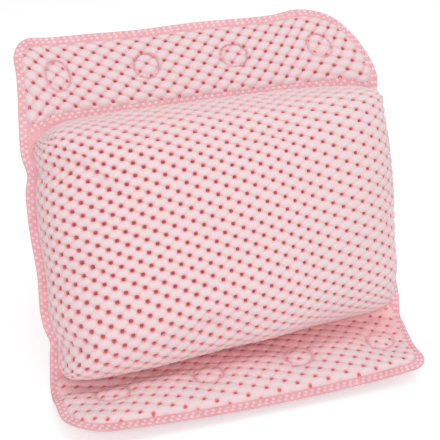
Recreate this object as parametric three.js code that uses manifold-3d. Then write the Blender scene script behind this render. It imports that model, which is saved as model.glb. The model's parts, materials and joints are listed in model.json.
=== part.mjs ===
// Bath pillow of foamed mesh sheet: a thick loaf-shaped cushion between two flaps that bend at welded
// folds. Suction cups, trapped by ring welds on the back of the flaps, hold it to a bath.
// Millimetres, +Z up. X runs across the width and the front faces -Y. The lower flap lies level on its cups
// and the cushion leans back from it. The origin is midway across the width, on the line of the lower cups,
// in the plane of their rims.

import * as THREE from 'three';
import { mergeVertices } from 'three/addons/utils/BufferGeometryUtils.js';
import Module from 'manifold-3d';

const wasm = await Module();
wasm.setup();

// Outline, laid flat
const WIDTH = 330;
const CUSHION_SPAN = 228; // from fold line to fold line
const UPPER_FLAP_LENGTH = 80; // from the fold line to the free edge
const LOWER_FLAP_LENGTH = 86;
const FREE_CORNER_RADIUS = 14;

// Pose at rest, in degrees
const LEAN = 26; // of the cushion, back from upright
const UPPER_BEND = 20; // of the upper flap, back from the cushion's plane

// Welds, where front and back sheet are pressed into one strip
const BORDER_WIDTH = 10;
const SEAM_WIDTH = 10; // of the strip that each fold line halves
const WELD_THICKNESS = 2.2;

// Foamed sheets
const FRONT_SHEET = 4.5;
const BACK_SHEET = 3;
const FLAP_PUFF = 2.5; // rise of a flap's front between its welds

// Cushion
const CROWN_HEIGHT = 62; // over the back sheet, at the middle
const CROWN_FALL = 6; // from the middle to the shoulders
const RIM_HEIGHT = 5; // of the upright rim inside the weld
const EDGE_SQUARENESS = 10;
const EDGE_ROUNDING = 0.4;
const CORNER_FULLNESS = 4;
const THIN_SHARE = 0.36; // of the height, lost in the lower right corner, where there is less filling
const THIN_WIDTH = 115; // how far that reaches in from the right rim
const THIN_LENGTH = 200; // and up from the lower rim
const COVER_SHEET = 5.6; // of the cushion's front, from its inside to the tops of its nubs
const NUB_DIP = 3.5; // of the hollows between the nubs, which are fewer here than on the mesh

// Ring welds
const CUPS_PER_ROW = 4;
const ROW_MARGIN = 40.5; // from a side edge to the outer cup
const UPPER_ROW = 39; // from the fold line to the cups
const LOWER_ROW = 38;
const LOWER_ROW_SHIFT = 6; // the lower row sits off centre, towards +X
const RING_DIAMETER = 26;
const RING_FLOOR = 2; // width of the weld line
const RING_MOUTH = 8; // width of the dip that it draws in
const RING_DEPTH = 4;

// Suction cups
const CUP_DIAMETER = 40;
const CUP_HEIGHT = 10; // of the bell
const CUP_CROWN = 3.5; // wall at the middle of the bell
const CUP_LIP = 1.5; // width of the flat rim
const CUP_LIP_THICKNESS = 0.8;
const CUP_FLARE = 1.4;
const SHOULDER_DIAMETER = 13;
const NECK_DIAMETER = 7;
const HEAD_DIAMETER = 16;
const HEAD_THICKNESS = 2;

// Clearances
const GAP = 0.3; // between pieces that touch
const SWIVEL_CLEARANCE = 0.6; // round a cup's neck and head

// Facets
const ROUND_SEGMENTS = 20;
const BELL_STEPS = 5;
const NUB_COLUMNS = 32; // of nubs and hollows by turns
const NUB_ROWS = 24;
const PLAIN_RIM = 2; // steps without hollows, in from each rim
const PLAIN_CORNER = 9; // and in from the corners, both ways together
const CORE_COLUMNS = 16;
const CORE_ROWS = 12;
const SLOPE_STEP = 0.1; // over which a slope is measured
const FLAP_COLUMNS = 30;
const FLAP_ROWS = 8;

const FRONT_BASE = GAP / 2; // underside of the front sheets, over the weld's middle plane
const BACK_TOP = -GAP / 2;
const CUP_DROP = CUP_HEIGHT + GAP + BACK_SHEET - BACK_TOP; // from the weld's middle plane to the rims
const CUT_MARGIN = WELD_THICKNESS; // how far a cutter runs past what it cuts
const ROW_PITCH = (WIDTH - 2 * ROW_MARGIN) / (CUPS_PER_ROW - 1);

const MESH_PINK = 0xf0cdd2;
const BACK_PINK = 0xe8b4bd;
const WELD_PINK = 0xdc969f;
const FOAM_PINK = 0xc8505c;
const CUP_CLEAR = 0xe6ecef;

function foamMaterial(color) {
  return new THREE.MeshStandardMaterial({ color, roughness: 0.75, metalness: 0 });
}

function cupMaterial() {
  return new THREE.MeshStandardMaterial({ color: CUP_CLEAR, roughness: 0.15, metalness: 0 });
}

function namedMesh(name, geometry, material) {
  const mesh = new THREE.Mesh(geometry, material);
  mesh.name = name;
  return mesh;
}

function toSolid(geometry) {
  const bare = geometry.clone();
  bare.deleteAttribute('normal');
  bare.deleteAttribute('uv');
  const merged = mergeVertices(bare);
  return new wasm.Manifold(new wasm.Mesh({
    numProp: 3,
    vertProperties: merged.attributes.position.array,
    triVerts: new Uint32Array(merged.index.array),
  }));
}

function toGeometry(solid) {
  const mesh = solid.getMesh();
  const geometry = new THREE.BufferGeometry();
  geometry.setAttribute('position', new THREE.BufferAttribute(mesh.vertProperties, 3));
  geometry.setIndex(new THREE.BufferAttribute(mesh.triVerts, 1));
  geometry.computeVertexNormals();
  return geometry;
}

function cut(geometry, cutters) {
  return toGeometry(cutters.reduce((solid, cutter) => solid.subtract(toSolid(cutter)), toSolid(geometry)));
}

// Evenly spaced values from low to high.
function evenSteps(low, high, count) {
  return Array.from({ length: count + 1 }, (_, i) => low + ((high - low) * i) / count);
}

// Values from low to high that lie closer together towards both ends.
function roundedSteps(low, high, count) {
  const middle = (low + high) / 2;
  const half = (high - low) / 2;
  return Array.from({ length: count + 1 }, (_, i) => middle - half * Math.cos((Math.PI * i) / count));
}

// Closed solid over a rectangle, between a flat base and a top surface. The surface is given as the point for each
// x and y, with the column and the row that they lie in.
function reliefSolid(xs, ys, base, point) {
  const columns = xs.length;
  const rows = ys.length;
  const positions = ys.flatMap((y, row) => xs.flatMap((x, column) => point(x, y, column, row)));
  const index = [];
  for (let row = 0; row < rows - 1; row += 1) {
    for (let column = 0; column < columns - 1; column += 1) {
      const corner = row * columns + column;
      const above = corner + columns;
      if ((column + row) % 2 === 0) {
        index.push(corner, corner + 1, above + 1, corner, above + 1, above);
      } else {
        index.push(corner, corner + 1, above, corner + 1, above + 1, above);
      }
    }
  }
  const rim = [];
  for (let column = 0; column < columns - 1; column += 1) {
    rim.push(column);
  }
  for (let row = 0; row < rows - 1; row += 1) {
    rim.push(row * columns + columns - 1);
  }
  for (let column = columns - 1; column > 0; column -= 1) {
    rim.push((rows - 1) * columns + column);
  }
  for (let row = rows - 1; row > 0; row -= 1) {
    rim.push(row * columns);
  }
  const firstFoot = columns * rows;
  rim.forEach((top) => positions.push(positions[3 * top], positions[3 * top + 1], base));
  const middle = firstFoot + rim.length;
  positions.push((xs[0] + xs[columns - 1]) / 2, (ys[0] + ys[rows - 1]) / 2, base);
  rim.forEach((top, i) => {
    const next = (i + 1) % rim.length;
    const foot = firstFoot + i;
    const nextFoot = firstFoot + next;
    index.push(foot, nextFoot, rim[next], foot, rim[next], top, middle, nextFoot, foot);
  });
  const geometry = new THREE.BufferGeometry();
  geometry.setAttribute('position', new THREE.Float32BufferAttribute(positions, 3));
  geometry.setIndex(index);
  geometry.computeVertexNormals();
  return geometry;
}

// Solid of revolution about Z from a profile of [radius, height] pairs.
function turned(profile) {
  const points = profile.map(([radius, height]) => new THREE.Vector2(radius, height));
  return new THREE.LatheGeometry(points, ROUND_SEGMENTS).rotateX(Math.PI / 2);
}

// Upright round cutter between two heights.
function roundCutter(diameter, low, high) {
  const radius = diameter / 2;
  return turned([[0, low], [radius, low], [radius, high], [0, high]]);
}

// Rectangular path, with round corners on the side of the free edge if that edge is not a fold.
function panelOutline(left, right, fold, free, radius) {
  const side = Math.sign(free - fold);
  const shape = new THREE.Shape();
  shape.moveTo(left, fold);
  shape.lineTo(right, fold);
  shape.lineTo(right, free - side * radius);
  shape.quadraticCurveTo(right, free, right - radius, free);
  shape.lineTo(left + radius, free);
  shape.quadraticCurveTo(left, free, left, free - side * radius);
  shape.closePath();
  return shape;
}

function rectangle(left, right, low, high) {
  const path = new THREE.Path();
  path.moveTo(left, low);
  path.lineTo(right, low);
  path.lineTo(right, high);
  path.lineTo(left, high);
  path.closePath();
  return path;
}

// Takes both edges off a weld along a fold line, so that the fold is a line that two strips turn about.
// side is +1 where the strip lies above the fold line in y, and -1 where it lies below.
function foldCutter(fold, side) {
  const reach = CUT_MARGIN;
  const tip = GAP / 2;
  const section = [[-reach, -reach], [tip + reach, -reach], [tip, 0], [tip + reach, reach], [-reach, reach]];
  const shape = new THREE.Shape(section.map(([y, z]) => new THREE.Vector2(fold + side * y, z)));
  const length = WIDTH + 2 * CUT_MARGIN;
  const along = new THREE.Matrix4().makeBasis(
    new THREE.Vector3(0, 1, 0),
    new THREE.Vector3(0, 0, 1),
    new THREE.Vector3(1, 0, 0),
  );
  return new THREE.ExtrudeGeometry(shape, { depth: length, bevelEnabled: false })
    .translate(0, 0, -length / 2)
    .applyMatrix4(along);
}

// Welded strip round a panel, flat about z = 0.
function weldFrame(outline, window, cutters) {
  outline.holes.push(window);
  const strip = new THREE.ExtrudeGeometry(outline, { depth: WELD_THICKNESS, bevelEnabled: false })
    .translate(0, 0, -WELD_THICKNESS / 2);
  return cut(strip, cutters);
}

const WINDOW_HALF = WIDTH / 2 - BORDER_WIDTH;
const SHEET_HALF = WINDOW_HALF - GAP;
const FOLD_INSET = SEAM_WIDTH / 2;

// Cushion: y runs from the lower fold line at 0 to the upper one at CUSHION_SPAN, z towards the front.
const CUSHION_LOW = FOLD_INSET + GAP;
const CUSHION_HIGH = CUSHION_SPAN - FOLD_INSET - GAP;

function shoulder(share) {
  return Math.max(0, 1 - Math.abs(share) ** EDGE_SQUARENESS) ** EDGE_ROUNDING;
}

// Share of the height that is left at shares u and v of the way to the rims, with corners fuller than two edges
// that round off by themselves would leave them.
function fullness(u, v) {
  const loss = shoulder(u) ** -CORNER_FULLNESS + shoulder(v) ** -CORNER_FULLNESS - 1;
  return loss ** (-1 / CORNER_FULLNESS);
}

function filling(x, y) {
  const right = THREE.MathUtils.smoothstep(x, SHEET_HALF - THIN_WIDTH, SHEET_HALF);
  const high = THREE.MathUtils.smoothstep(y, CUSHION_LOW, CUSHION_LOW + THIN_LENGTH);
  return 1 - THIN_SHARE * right * (1 - high);
}

// Crowned loaf, drawn in from the cushion's outside by inset on every side but its base. Away from its rims and
// corners, every other point is sunk by dip, square to the surface, which leaves nubs in staggered rows.
function loaf(inset, base, columns, rows, dip) {
  const halfX = SHEET_HALF - inset;
  const halfY = (CUSHION_HIGH - CUSHION_LOW) / 2 - inset;
  const middle = CUSHION_SPAN / 2;
  const rise = CROWN_HEIGHT - RIM_HEIGHT - inset;
  const height = (x, y) => {
    const u = x / halfX;
    const v = (y - middle) / halfY;
    const crown = rise - CROWN_FALL * (u * u + v * v);
    return FRONT_BASE + RIM_HEIGHT + crown * fullness(u, v) * filling(x, y);
  };
  const point = (x, y, column, row) => {
    const across = Math.min(column, columns - column);
    const along = Math.min(row, rows - row);
    const plain = Math.min(across, along) < PLAIN_RIM || across + along < PLAIN_CORNER;
    if (plain || (column + row) % 2 === 0) {
      return [x, y, height(x, y)];
    }
    const slopeX = (height(x + SLOPE_STEP, y) - height(x - SLOPE_STEP, y)) / (2 * SLOPE_STEP);
    const slopeY = (height(x, y + SLOPE_STEP) - height(x, y - SLOPE_STEP)) / (2 * SLOPE_STEP);
    const sink = (dip * filling(x, y)) / Math.hypot(slopeX, slopeY, 1);
    return [x + slopeX * sink, y + slopeY * sink, height(x, y) - sink];
  };
  const xs = roundedSteps(-halfX, halfX, columns);
  const ys = roundedSteps(middle - halfY, middle + halfY, rows);
  return reliefSolid(xs, ys, base, point);
}

// Plain loaf inside the front sheet.
function coreLoaf(inset, base) {
  return loaf(inset, base, CORE_COLUMNS, CORE_ROWS, 0);
}

function backSheet(shape) {
  return new THREE.ExtrudeGeometry(shape, {
    depth: BACK_SHEET,
    bevelEnabled: false,
    curveSegments: ROUND_SEGMENTS,
  }).translate(0, 0, BACK_TOP - BACK_SHEET);
}

function makeCushion() {
  const cushion = new THREE.Group();
  const outline = panelOutline(-WIDTH / 2, WIDTH / 2, 0, CUSHION_SPAN, 0);
  const window = rectangle(-WINDOW_HALF, WINDOW_HALF, FOLD_INSET, CUSHION_SPAN - FOLD_INSET);
  const folds = [foldCutter(0, 1), foldCutter(CUSHION_SPAN, -1)];
  const outside = loaf(0, FRONT_BASE, NUB_COLUMNS, NUB_ROWS, NUB_DIP);
  const dome = cut(outside, [coreLoaf(COVER_SHEET, FRONT_BASE - CUT_MARGIN)]);
  const back = panelOutline(-SHEET_HALF, SHEET_HALF, CUSHION_LOW, CUSHION_HIGH, 0);
  cushion.add(
    namedMesh('cushion_weld_frame', weldFrame(outline, window, folds), foamMaterial(WELD_PINK)),
    namedMesh('cushion_front_sheet', dome, foamMaterial(MESH_PINK)),
    namedMesh('cushion_foam_core', coreLoaf(COVER_SHEET + GAP, FRONT_BASE), foamMaterial(FOAM_PINK)),
    namedMesh('cushion_back_sheet', backSheet(back), foamMaterial(BACK_PINK)),
  );
  return cushion;
}

// Ring-shaped cutter for the dip that a ring weld draws into a front sheet whose top is at the given height.
function ringCutter(top) {
  const radius = RING_DIAMETER / 2;
  const floor = top - RING_DEPTH;
  const mouth = top + CUT_MARGIN;
  const spread = (RING_MOUTH / 2 - RING_FLOOR / 2) * ((mouth - floor) / RING_DEPTH) + RING_FLOOR / 2;
  return turned([
    [radius - RING_FLOOR / 2, floor],
    [radius + RING_FLOOR / 2, floor],
    [radius + spread, mouth],
    [radius - spread, mouth],
    [radius - RING_FLOOR / 2, floor],
  ]);
}

// Suction cup with its rim at z = 0: a bell, a neck through the back sheet and a head behind it.
function suctionCup() {
  const rim = CUP_DIAMETER / 2;
  const inner = rim - CUP_LIP;
  const collar = SHOULDER_DIAMETER / 2;
  const hollow = CUP_HEIGHT - CUP_CROWN;
  const headBase = CUP_DROP + FRONT_BASE;
  const headTop = headBase + HEAD_THICKNESS;
  const shares = evenSteps(0, 1, BELL_STEPS);
  const inside = shares.map((t) => [inner * t, hollow * (1 - t * t)]);
  const outside = shares.map((t) => {
    const rise = (CUP_HEIGHT - CUP_LIP_THICKNESS) * (1 - (1 - t) ** CUP_FLARE);
    return [rim + (collar - rim) * t, CUP_LIP_THICKNESS + rise];
  });
  return turned([
    ...inside,
    [rim, 0],
    ...outside,
    [NECK_DIAMETER / 2, CUP_HEIGHT],
    [NECK_DIAMETER / 2, headBase],
    [HEAD_DIAMETER / 2, headBase],
    [HEAD_DIAMETER / 2, headTop],
    [0, headTop],
  ]);
}

// Flap: y = 0 on the fold line and y = side * length at the free edge, z towards the front.
function makeFlap(name, length, side, row, shift) {
  const flap = new THREE.Group();
  const near = side * FOLD_INSET;
  const far = side * (length - BORDER_WIDTH);
  const low = Math.min(near, far);
  const high = Math.max(near, far);
  const centres = Array.from({ length: CUPS_PER_ROW }, (_, i) => {
    const step = i - (CUPS_PER_ROW - 1) / 2;
    return new THREE.Vector2(step * ROW_PITCH + shift, side * row);
  });

  const outline = panelOutline(-WIDTH / 2, WIDTH / 2, 0, side * length, FREE_CORNER_RADIUS);
  const window = rectangle(-WINDOW_HALF, WINDOW_HALF, low, high);
  const frame = weldFrame(outline, window, [foldCutter(0, side)]);

  const middle = (low + high) / 2;
  const half = (high - low) / 2 - GAP;
  const top = (x, y) => {
    const across = (x / SHEET_HALF) ** 4;
    const along = ((y - middle) / half) ** 4;
    return FRONT_BASE + FRONT_SHEET + FLAP_PUFF * (1 - across) * (1 - along);
  };
  const xs = evenSteps(-SHEET_HALF, SHEET_HALF, FLAP_COLUMNS);
  const ys = evenSteps(middle - half, middle + half, FLAP_ROWS);
  const pocketTop = FRONT_BASE + HEAD_THICKNESS + GAP;
  const headRoom = HEAD_DIAMETER + 2 * SWIVEL_CLEARANCE;
  const cutters = centres.flatMap(({ x, y }) => [
    ringCutter(top(x, y)).translate(x, y, 0),
    roundCutter(headRoom, FRONT_BASE - CUT_MARGIN, pocketTop).translate(x, y, 0),
  ]);
  const front = cut(reliefSolid(xs, ys, FRONT_BASE, (x, y) => [x, y, top(x, y)]), cutters);

  const back = panelOutline(-SHEET_HALF, SHEET_HALF, middle - half, middle + half, 0);
  const neckRoom = NECK_DIAMETER / 2 + SWIVEL_CLEARANCE;
  centres.forEach(({ x, y }) => {
    back.holes.push(new THREE.Path().absarc(x, y, neckRoom, 0, 2 * Math.PI, true));
  });

  flap.add(
    namedMesh(`${name}_flap_weld_frame`, frame, foamMaterial(WELD_PINK)),
    namedMesh(`${name}_flap_front_sheet`, front, foamMaterial(MESH_PINK)),
    namedMesh(`${name}_flap_back_sheet`, backSheet(back), foamMaterial(BACK_PINK)),
  );
  centres.forEach(({ x, y }, i) => {
    const cup = namedMesh(`${name}_suction_cup_${i + 1}`, suctionCup(), cupMaterial());
    cup.position.set(x, y, -CUP_DROP);
    flap.add(cup);
  });
  return flap;
}

const lowerFlap = makeFlap('lower', LOWER_FLAP_LENGTH, -1, LOWER_ROW, LOWER_ROW_SHIFT);

const upperFlap = makeFlap('upper', UPPER_FLAP_LENGTH, 1, UPPER_ROW, 0);
upperFlap.position.y = CUSHION_SPAN;
upperFlap.rotation.x = -THREE.MathUtils.degToRad(UPPER_BEND);

const cushion = makeCushion();
cushion.add(upperFlap);
cushion.rotation.x = THREE.MathUtils.degToRad(90 - LEAN);

const pillow = new THREE.Group();
pillow.add(lowerFlap, cushion);
pillow.position.set(0, LOWER_ROW, CUP_DROP);

export default pillow;
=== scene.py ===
"""Bath pillow of foamed mesh sheet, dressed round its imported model.

A padded cushion sits between two flaps that bend at welded seams, and suction cups hang behind
ring welds in the flaps. A flat place on the pillow is given by x across the width and s along the
length, with s = 0 on the lower fold. A height h is measured from the middle of the weld towards
the front. All lengths are in metres.
"""

import json
import logging
import math
from dataclasses import dataclass, field, replace
from enum import Enum
from typing import Any, Sequence

import bpy
import numpy as np
from mathutils import Matrix, Vector

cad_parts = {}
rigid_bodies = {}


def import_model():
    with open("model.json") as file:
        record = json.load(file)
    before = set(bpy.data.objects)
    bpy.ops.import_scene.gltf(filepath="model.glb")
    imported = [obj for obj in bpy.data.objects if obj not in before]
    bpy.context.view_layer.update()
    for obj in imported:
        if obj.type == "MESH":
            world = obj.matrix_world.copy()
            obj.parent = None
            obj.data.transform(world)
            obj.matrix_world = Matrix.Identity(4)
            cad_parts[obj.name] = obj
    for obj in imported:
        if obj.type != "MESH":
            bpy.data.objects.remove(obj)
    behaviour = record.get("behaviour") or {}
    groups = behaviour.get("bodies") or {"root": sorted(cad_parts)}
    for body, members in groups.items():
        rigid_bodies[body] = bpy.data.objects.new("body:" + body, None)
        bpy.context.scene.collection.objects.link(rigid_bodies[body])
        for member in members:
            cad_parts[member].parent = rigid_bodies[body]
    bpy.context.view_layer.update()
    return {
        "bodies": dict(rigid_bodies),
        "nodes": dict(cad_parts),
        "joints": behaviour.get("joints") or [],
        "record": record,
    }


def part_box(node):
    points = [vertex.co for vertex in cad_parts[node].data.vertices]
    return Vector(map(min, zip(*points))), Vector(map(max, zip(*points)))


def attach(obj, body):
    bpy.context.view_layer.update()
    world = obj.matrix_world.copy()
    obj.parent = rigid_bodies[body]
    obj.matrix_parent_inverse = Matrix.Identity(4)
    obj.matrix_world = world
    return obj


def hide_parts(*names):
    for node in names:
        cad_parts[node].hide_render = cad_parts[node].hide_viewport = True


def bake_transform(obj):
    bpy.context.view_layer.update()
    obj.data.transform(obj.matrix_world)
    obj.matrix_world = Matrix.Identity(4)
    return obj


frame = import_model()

LOG = logging.getLogger("bath_pillow")
MM = 0.001
CM = 0.01

HOLE_MARK = "hole"  # distance to the nearest hole of the mesh, in centimetres
PRESS_MARK = "press"  # 1 where the sheet is pressed flat by a ring weld
CREASE_SHADE_MARK = "crease"  # 1 in the creases between the nubs, where shade is painted into the colour
PAINTED_GLOW_MARK = "painted_glow"  # 1 where a painted red glow stands in for light in the shaded lower fold and along the cushion's lower and left rims
PLAIN_MARKS = {HOLE_MARK: 1.0, PRESS_MARK: 0.0, CREASE_SHADE_MARK: 0.0, PAINTED_GLOW_MARK: 0.0}

# Crease is painted shade, Rim is the foam's pink with a painted glow, and the last tint is a
# painted red glow in the shaded lower fold.
TINTS = ("Nub", "Cloud", "Crease", "Rim", "Pit", "Pressed", "Painted_glow")
MOTTLE_STOPS = ((0.35, 0.0), (0.65, 1.0))  # place and brightness of each stop
# stops for the painted shade of the creases
CREASE_SHADE_STOPS = ((0.15, 0.0), (1.0, 1.0))
# stops for the rims of holes, the foam's pink with a painted glow
RIM_GLOW_STOPS = ((0.19, 1.0), (0.36, 0.0))
PIT_STOPS = ((0.13, 1.0), (0.19, 0.0))
WHITE = (1.0, 1.0, 1.0, 1.0)
MIX_COLOURS = (6, 7)  # numbers of a mix node's colour inputs
MIX_RESULT = 2  # number of its colour output

FULL_SHADE_DEPTH = 1.7 * MM  # depth at which a crease has its full painted shade
EDGE_CELLS = 0.51  # points this many cells from an edge are drawn onto it
CORNER_STEPS = 24  # points round a corner of an outline
LEAST_TURN = 0.2 * MM  # smallest radius of such a corner
SAME_PLACE = 1e-7  # points this close are one
TINY = 1e-15  # keeps a divisor from being zero

Points = np.ndarray
Marks = dict[str, np.ndarray]
Loops = Sequence[Sequence[int]]
Colour = tuple[float, float, float, float]
Corners = tuple[float, float, float, float]  # lower left, lower right, upper left, upper right
Box = tuple[float, float, float, float]  # low x, high x, low s, high s
Band = tuple[float, float]  # two values, often those between which something changes
Thing = bpy.types.Object
Material = bpy.types.Material
Tree = bpy.types.NodeTree
Node = bpy.types.Node
Socket = bpy.types.NodeSocket


class Edge(Enum):
    """An edge of the pillow."""

    LEFT = "left"
    RIGHT = "right"
    TOP = "top"


class FlapRow(Enum):
    """Which of the two flaps."""

    LOWER = "lower"
    UPPER = "upper"


class Face(Enum):
    """A face of the sheet, with the sign of its height."""

    FRONT = 1
    BACK = -1


class StripFinish(Enum):
    """A finish on the weld strips, with its number."""

    WELD = 0
    BEAD = 1


def eased(low: float, high: float, value: Points) -> Points:
    """Step from 0 at low to 1 at high, with soft ends; low may lie above high."""
    share = np.clip((value - low) / (high - low), 0.0, 1.0)
    return share * share * (3.0 - 2.0 * share)


def bell(middle: float, reach: float, value: Points) -> Points:
    """Bell curve that is 1 in its middle and fades over its reach."""
    return np.exp(-(((value - middle) / reach) ** 2))


def rolled(margin: Points, reach: float) -> Points:
    """Share of a sheet's height at a distance from its edge, which is a quarter round."""
    return np.sqrt(np.clip(1.0 - (1.0 - np.clip(margin / reach, 0.0, 1.0)) ** 2, 0.0, 1.0))


def unit(vectors: Points) -> Points:
    """Vectors scaled to a length of one."""
    return vectors / np.maximum(np.linalg.norm(vectors, axis=-1, keepdims=True), TINY)


def hole_marks(away: Points, shown: Points) -> Points:
    """Hole marks from the distances to holes, plain where the holes aren't shown."""
    return np.where(shown, away / CM, PLAIN_MARKS[HOLE_MARK])


def lift(step: int) -> float:
    """Linear share of a screen's step of 0 to 255, by the standard curve of screens."""
    share = step / 255.0
    return share / 12.92 if share <= 0.04045 else ((share + 0.055) / 1.055) ** 2.4


def linear(red: int, green: int, blue: int) -> Colour:
    """Scene colour of a screen colour."""
    return lift(red), lift(green), lift(blue), 1.0


def rounded(
    x: Points, s: Points, corner: tuple[float, float], radius: float
) -> tuple[Points, Points]:
    """Draws a square corner of a patch into a round one.

    Args:
        x: Across the width.
        s: Along the length.
        corner: Tip of the square corner; the patch lies between it and the panel's middle.
        radius: Of the round corner, negative where the patch lies above the tip.

    Returns:
        The new x and s.
    """
    side = math.copysign(1.0, corner[0])
    rise = math.copysign(1.0, radius)
    size = abs(radius)
    across = (x * side - (abs(corner[0]) - size)) / size
    along = ((s - corner[1]) * rise + size) / size
    inside = (across > 0.0) & (along > 0.0)
    a = np.where(inside, across, 1.0)
    b = np.where(inside, along, 1.0)
    reach = np.maximum(a, b)
    eighth = math.pi / 4.0
    before = eighth * b / np.maximum(a, TINY)
    after = math.pi / 2.0 - eighth * a / np.maximum(b, TINY)
    angle = np.where(a >= b, before, after)
    new_x = side * (abs(corner[0]) - size + size * reach * np.cos(angle))
    new_s = corner[1] + rise * (size * reach * np.sin(angle) - size)
    return np.where(inside, new_x, x), np.where(inside, new_s, s)


@dataclass(frozen=True)
class Fold:
    """A weld line that two panels bend about.

    Args:
        at: Place of the line along the length.
        point: Its y and z at rest.
        before: Slope of the panel below it, in radians.
        after: Slope of the panel above it, in radians.
        reach: How far the bend runs to each side of the line.
    """

    at: float
    point: tuple[float, float]
    before: float
    after: float
    reach: float

    def section(self, s: Points) -> tuple[Points, Points, Points]:
        """Middle line of the bend.

        Args:
            s: Places along the length.

        Returns:
            y, z and slope at each place; straight panels lie beyond the bend's reach.
        """
        share = np.clip((s - self.at) / self.reach, -1.0, 1.0)
        turn = self.after - self.before
        slope = self.before + turn * (share + 1.0) / 2.0
        radius = self.reach / math.tan(turn / 2.0)
        along, up = math.cos(self.before), math.sin(self.before)
        centre_y = self.point[0] - self.reach * along - radius * up
        centre_z = self.point[1] - self.reach * up + radius * along
        y = centre_y + radius * np.sin(slope)
        z = centre_z - radius * np.cos(slope)
        past = (s - self.at) - share * self.reach
        return y + past * np.cos(slope), z + past * np.sin(slope), slope


@dataclass(frozen=True)
class EdgeShift:
    """A stretch of an edge that stands out, or in where the shift is negative."""

    edge: Edge
    at: float
    reach: float
    shift: float


@dataclass
class PillowPlan:
    """Flat sizes of the pillow, and the way its soft outline lies at rest.

    Args:
        width: Across the pillow.
        lower_length: From the lower fold to the free edge of the lower flap.
        upper_length: The same for the upper flap.
        weld_thickness: Of the pressed strip.
        border: Width of the strip round the panels.
        seam_half: Half the width of the strips along the folds.
        lower_fold: Fold below the cushion.
        upper_fold: Fold above the cushion.
        cups: Flat places of the cups in each row.
        crown: Height of the cushion's crown over the weld.
        fold_reach: How far a bend runs to each side of its fold.
        corners: Radii of the free corners.
        shifts: Where the sides and the top stand out or in.
        shift_depth: How far in from a side its shifts are felt.
    """

    width: float
    lower_length: float
    upper_length: float
    weld_thickness: float
    border: float
    seam_half: float
    lower_fold: Fold
    upper_fold: Fold
    cups: dict[FlapRow, list[tuple[float, float]]]
    crown: float
    fold_reach: float = 4.2 * MM
    corners: Corners = (38 * MM, 22 * MM, 26 * MM, 42 * MM)
    shifts: tuple[EdgeShift, ...] = tuple(
        EdgeShift(edge, at * MM, reach * MM, shift * MM)
        for edge, at, reach, shift in (
            (Edge.LEFT, -12, 34, 5.5),
            (Edge.LEFT, 34, 8, -2.6),
            (Edge.LEFT, 182, 11, -3.4),
            (Edge.LEFT, 60, 26, 4.0),
            (Edge.LEFT, 130, 40, 2.5),
            (Edge.LEFT, 276, 42, -7.0),
            (Edge.RIGHT, 160, 75, 4.0),
            (Edge.RIGHT, 240, 25, 10.0),
            (Edge.RIGHT, -60, 38, -12.0),
            (Edge.TOP, -158, 26, 5.0),
            (Edge.TOP, 112, 16, 3.0),
        )
    )
    shift_depth: float = 70 * MM
    # the upper seam dips at its ends, and the lower one rises there and runs askew
    dip: float = 7 * MM
    dip_from: float = 126 * MM
    dip_reach: float = 24 * MM
    rise_share: float = 0.6
    rise_reach: float = 16 * MM
    skew: float = 5 * MM
    skew_reach: float = 30 * MM
    # the upper right corner curls back; across is a share of half the width
    curl: float = 2 * MM
    curl_across: float = 0.66
    curl_along: float = 34 * MM
    curl_scale: float = 60 * MM
    # the lower flap's free edge bows; middle and half are shares of half the width
    droop: float = 4 * MM
    droop_from: float = 0.5
    droop_middle: float = 0.06
    droop_half: float = 0.92
    # the strip ripples along the sides and the top; the offsets are in radians
    ripple: float = 1.2 * MM
    ripple_inset: float = 3 * MM
    ripple_depth: float = 30 * MM
    side_wave: float = 64 * MM
    side_offset: float = 0.8
    top_wave: float = 118 * MM
    top_offset: float = 0.7
    # the lower flap sags beside its fold, most of all at the left
    sag: float = 0.5 * MM
    sag_left: float = 2.4 * MM
    sag_turn: Band = (-30 * MM, -80 * MM)
    sag_at: float = -20 * MM
    sag_reach: float = 10 * MM

    @classmethod
    def from_frame(cls, packed: dict[str, Any]) -> "PillowPlan":
        """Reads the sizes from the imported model.

        Args:
            packed: What the frame holds.

        Returns:
            The plan of this pillow.
        """
        joints = {joint["name"]: joint for joint in packed["joints"]}
        low = Vector(joints["lower_fold"]["pos_m"])
        high = Vector(joints["upper_fold"]["pos_m"])
        span = (high - low).length
        lean = math.atan2(high.z - low.z, high.y - low.y)
        flap_front = Vector(joints["upper_cup_1_swivel"]["axis"])
        upper_slope = math.atan2(-flap_front.y, flap_front.z)
        along = Vector((0.0, math.cos(upper_slope), math.sin(upper_slope)))
        front = Vector((0.0, -math.sin(lean), math.cos(lean)))
        strip = packed["nodes"]["upper_flap_weld_frame"].data.vertices
        dome = packed["nodes"]["cushion_front_sheet"].data.vertices
        lower_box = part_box("lower_flap_weld_frame")
        panel_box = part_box("cushion_back_sheet")
        width = lower_box[1].x - lower_box[0].x
        cups: dict[FlapRow, list[tuple[float, float]]] = {row: [] for row in FlapRow}
        for name, joint in joints.items():
            place = Vector(joint["pos_m"])
            if name.startswith("lower_cup"):
                cups[FlapRow.LOWER].append((place.x, place.y - low.y))
            elif name.startswith("upper_cup"):
                cups[FlapRow.UPPER].append((place.x, span + (place - high).dot(along)))
        return cls(
            width=width,
            lower_length=low.y - lower_box[0].y,
            upper_length=max((vertex.co - high).dot(along) for vertex in strip),
            weld_thickness=lower_box[1].z - lower_box[0].z,
            border=(width - (panel_box[1].x - panel_box[0].x)) / 2.0,
            seam_half=low.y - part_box("lower_flap_front_sheet")[1].y,
            lower_fold=Fold(0.0, (low.y, low.z), 0.0, lean, cls.fold_reach),
            upper_fold=Fold(span, (high.y, high.z), lean, upper_slope, cls.fold_reach),
            cups=cups,
            crown=max((vertex.co - low).dot(front) for vertex in dome),
        )

    @property
    def span(self) -> float:
        """Length of the cushion from fold to fold."""
        return self.upper_fold.at

    @property
    def half(self) -> float:
        """Half the width."""
        return self.width / 2.0

    @property
    def top(self) -> float:
        """Place of the upper flap's free edge along the length."""
        return self.span + self.upper_length

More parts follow.
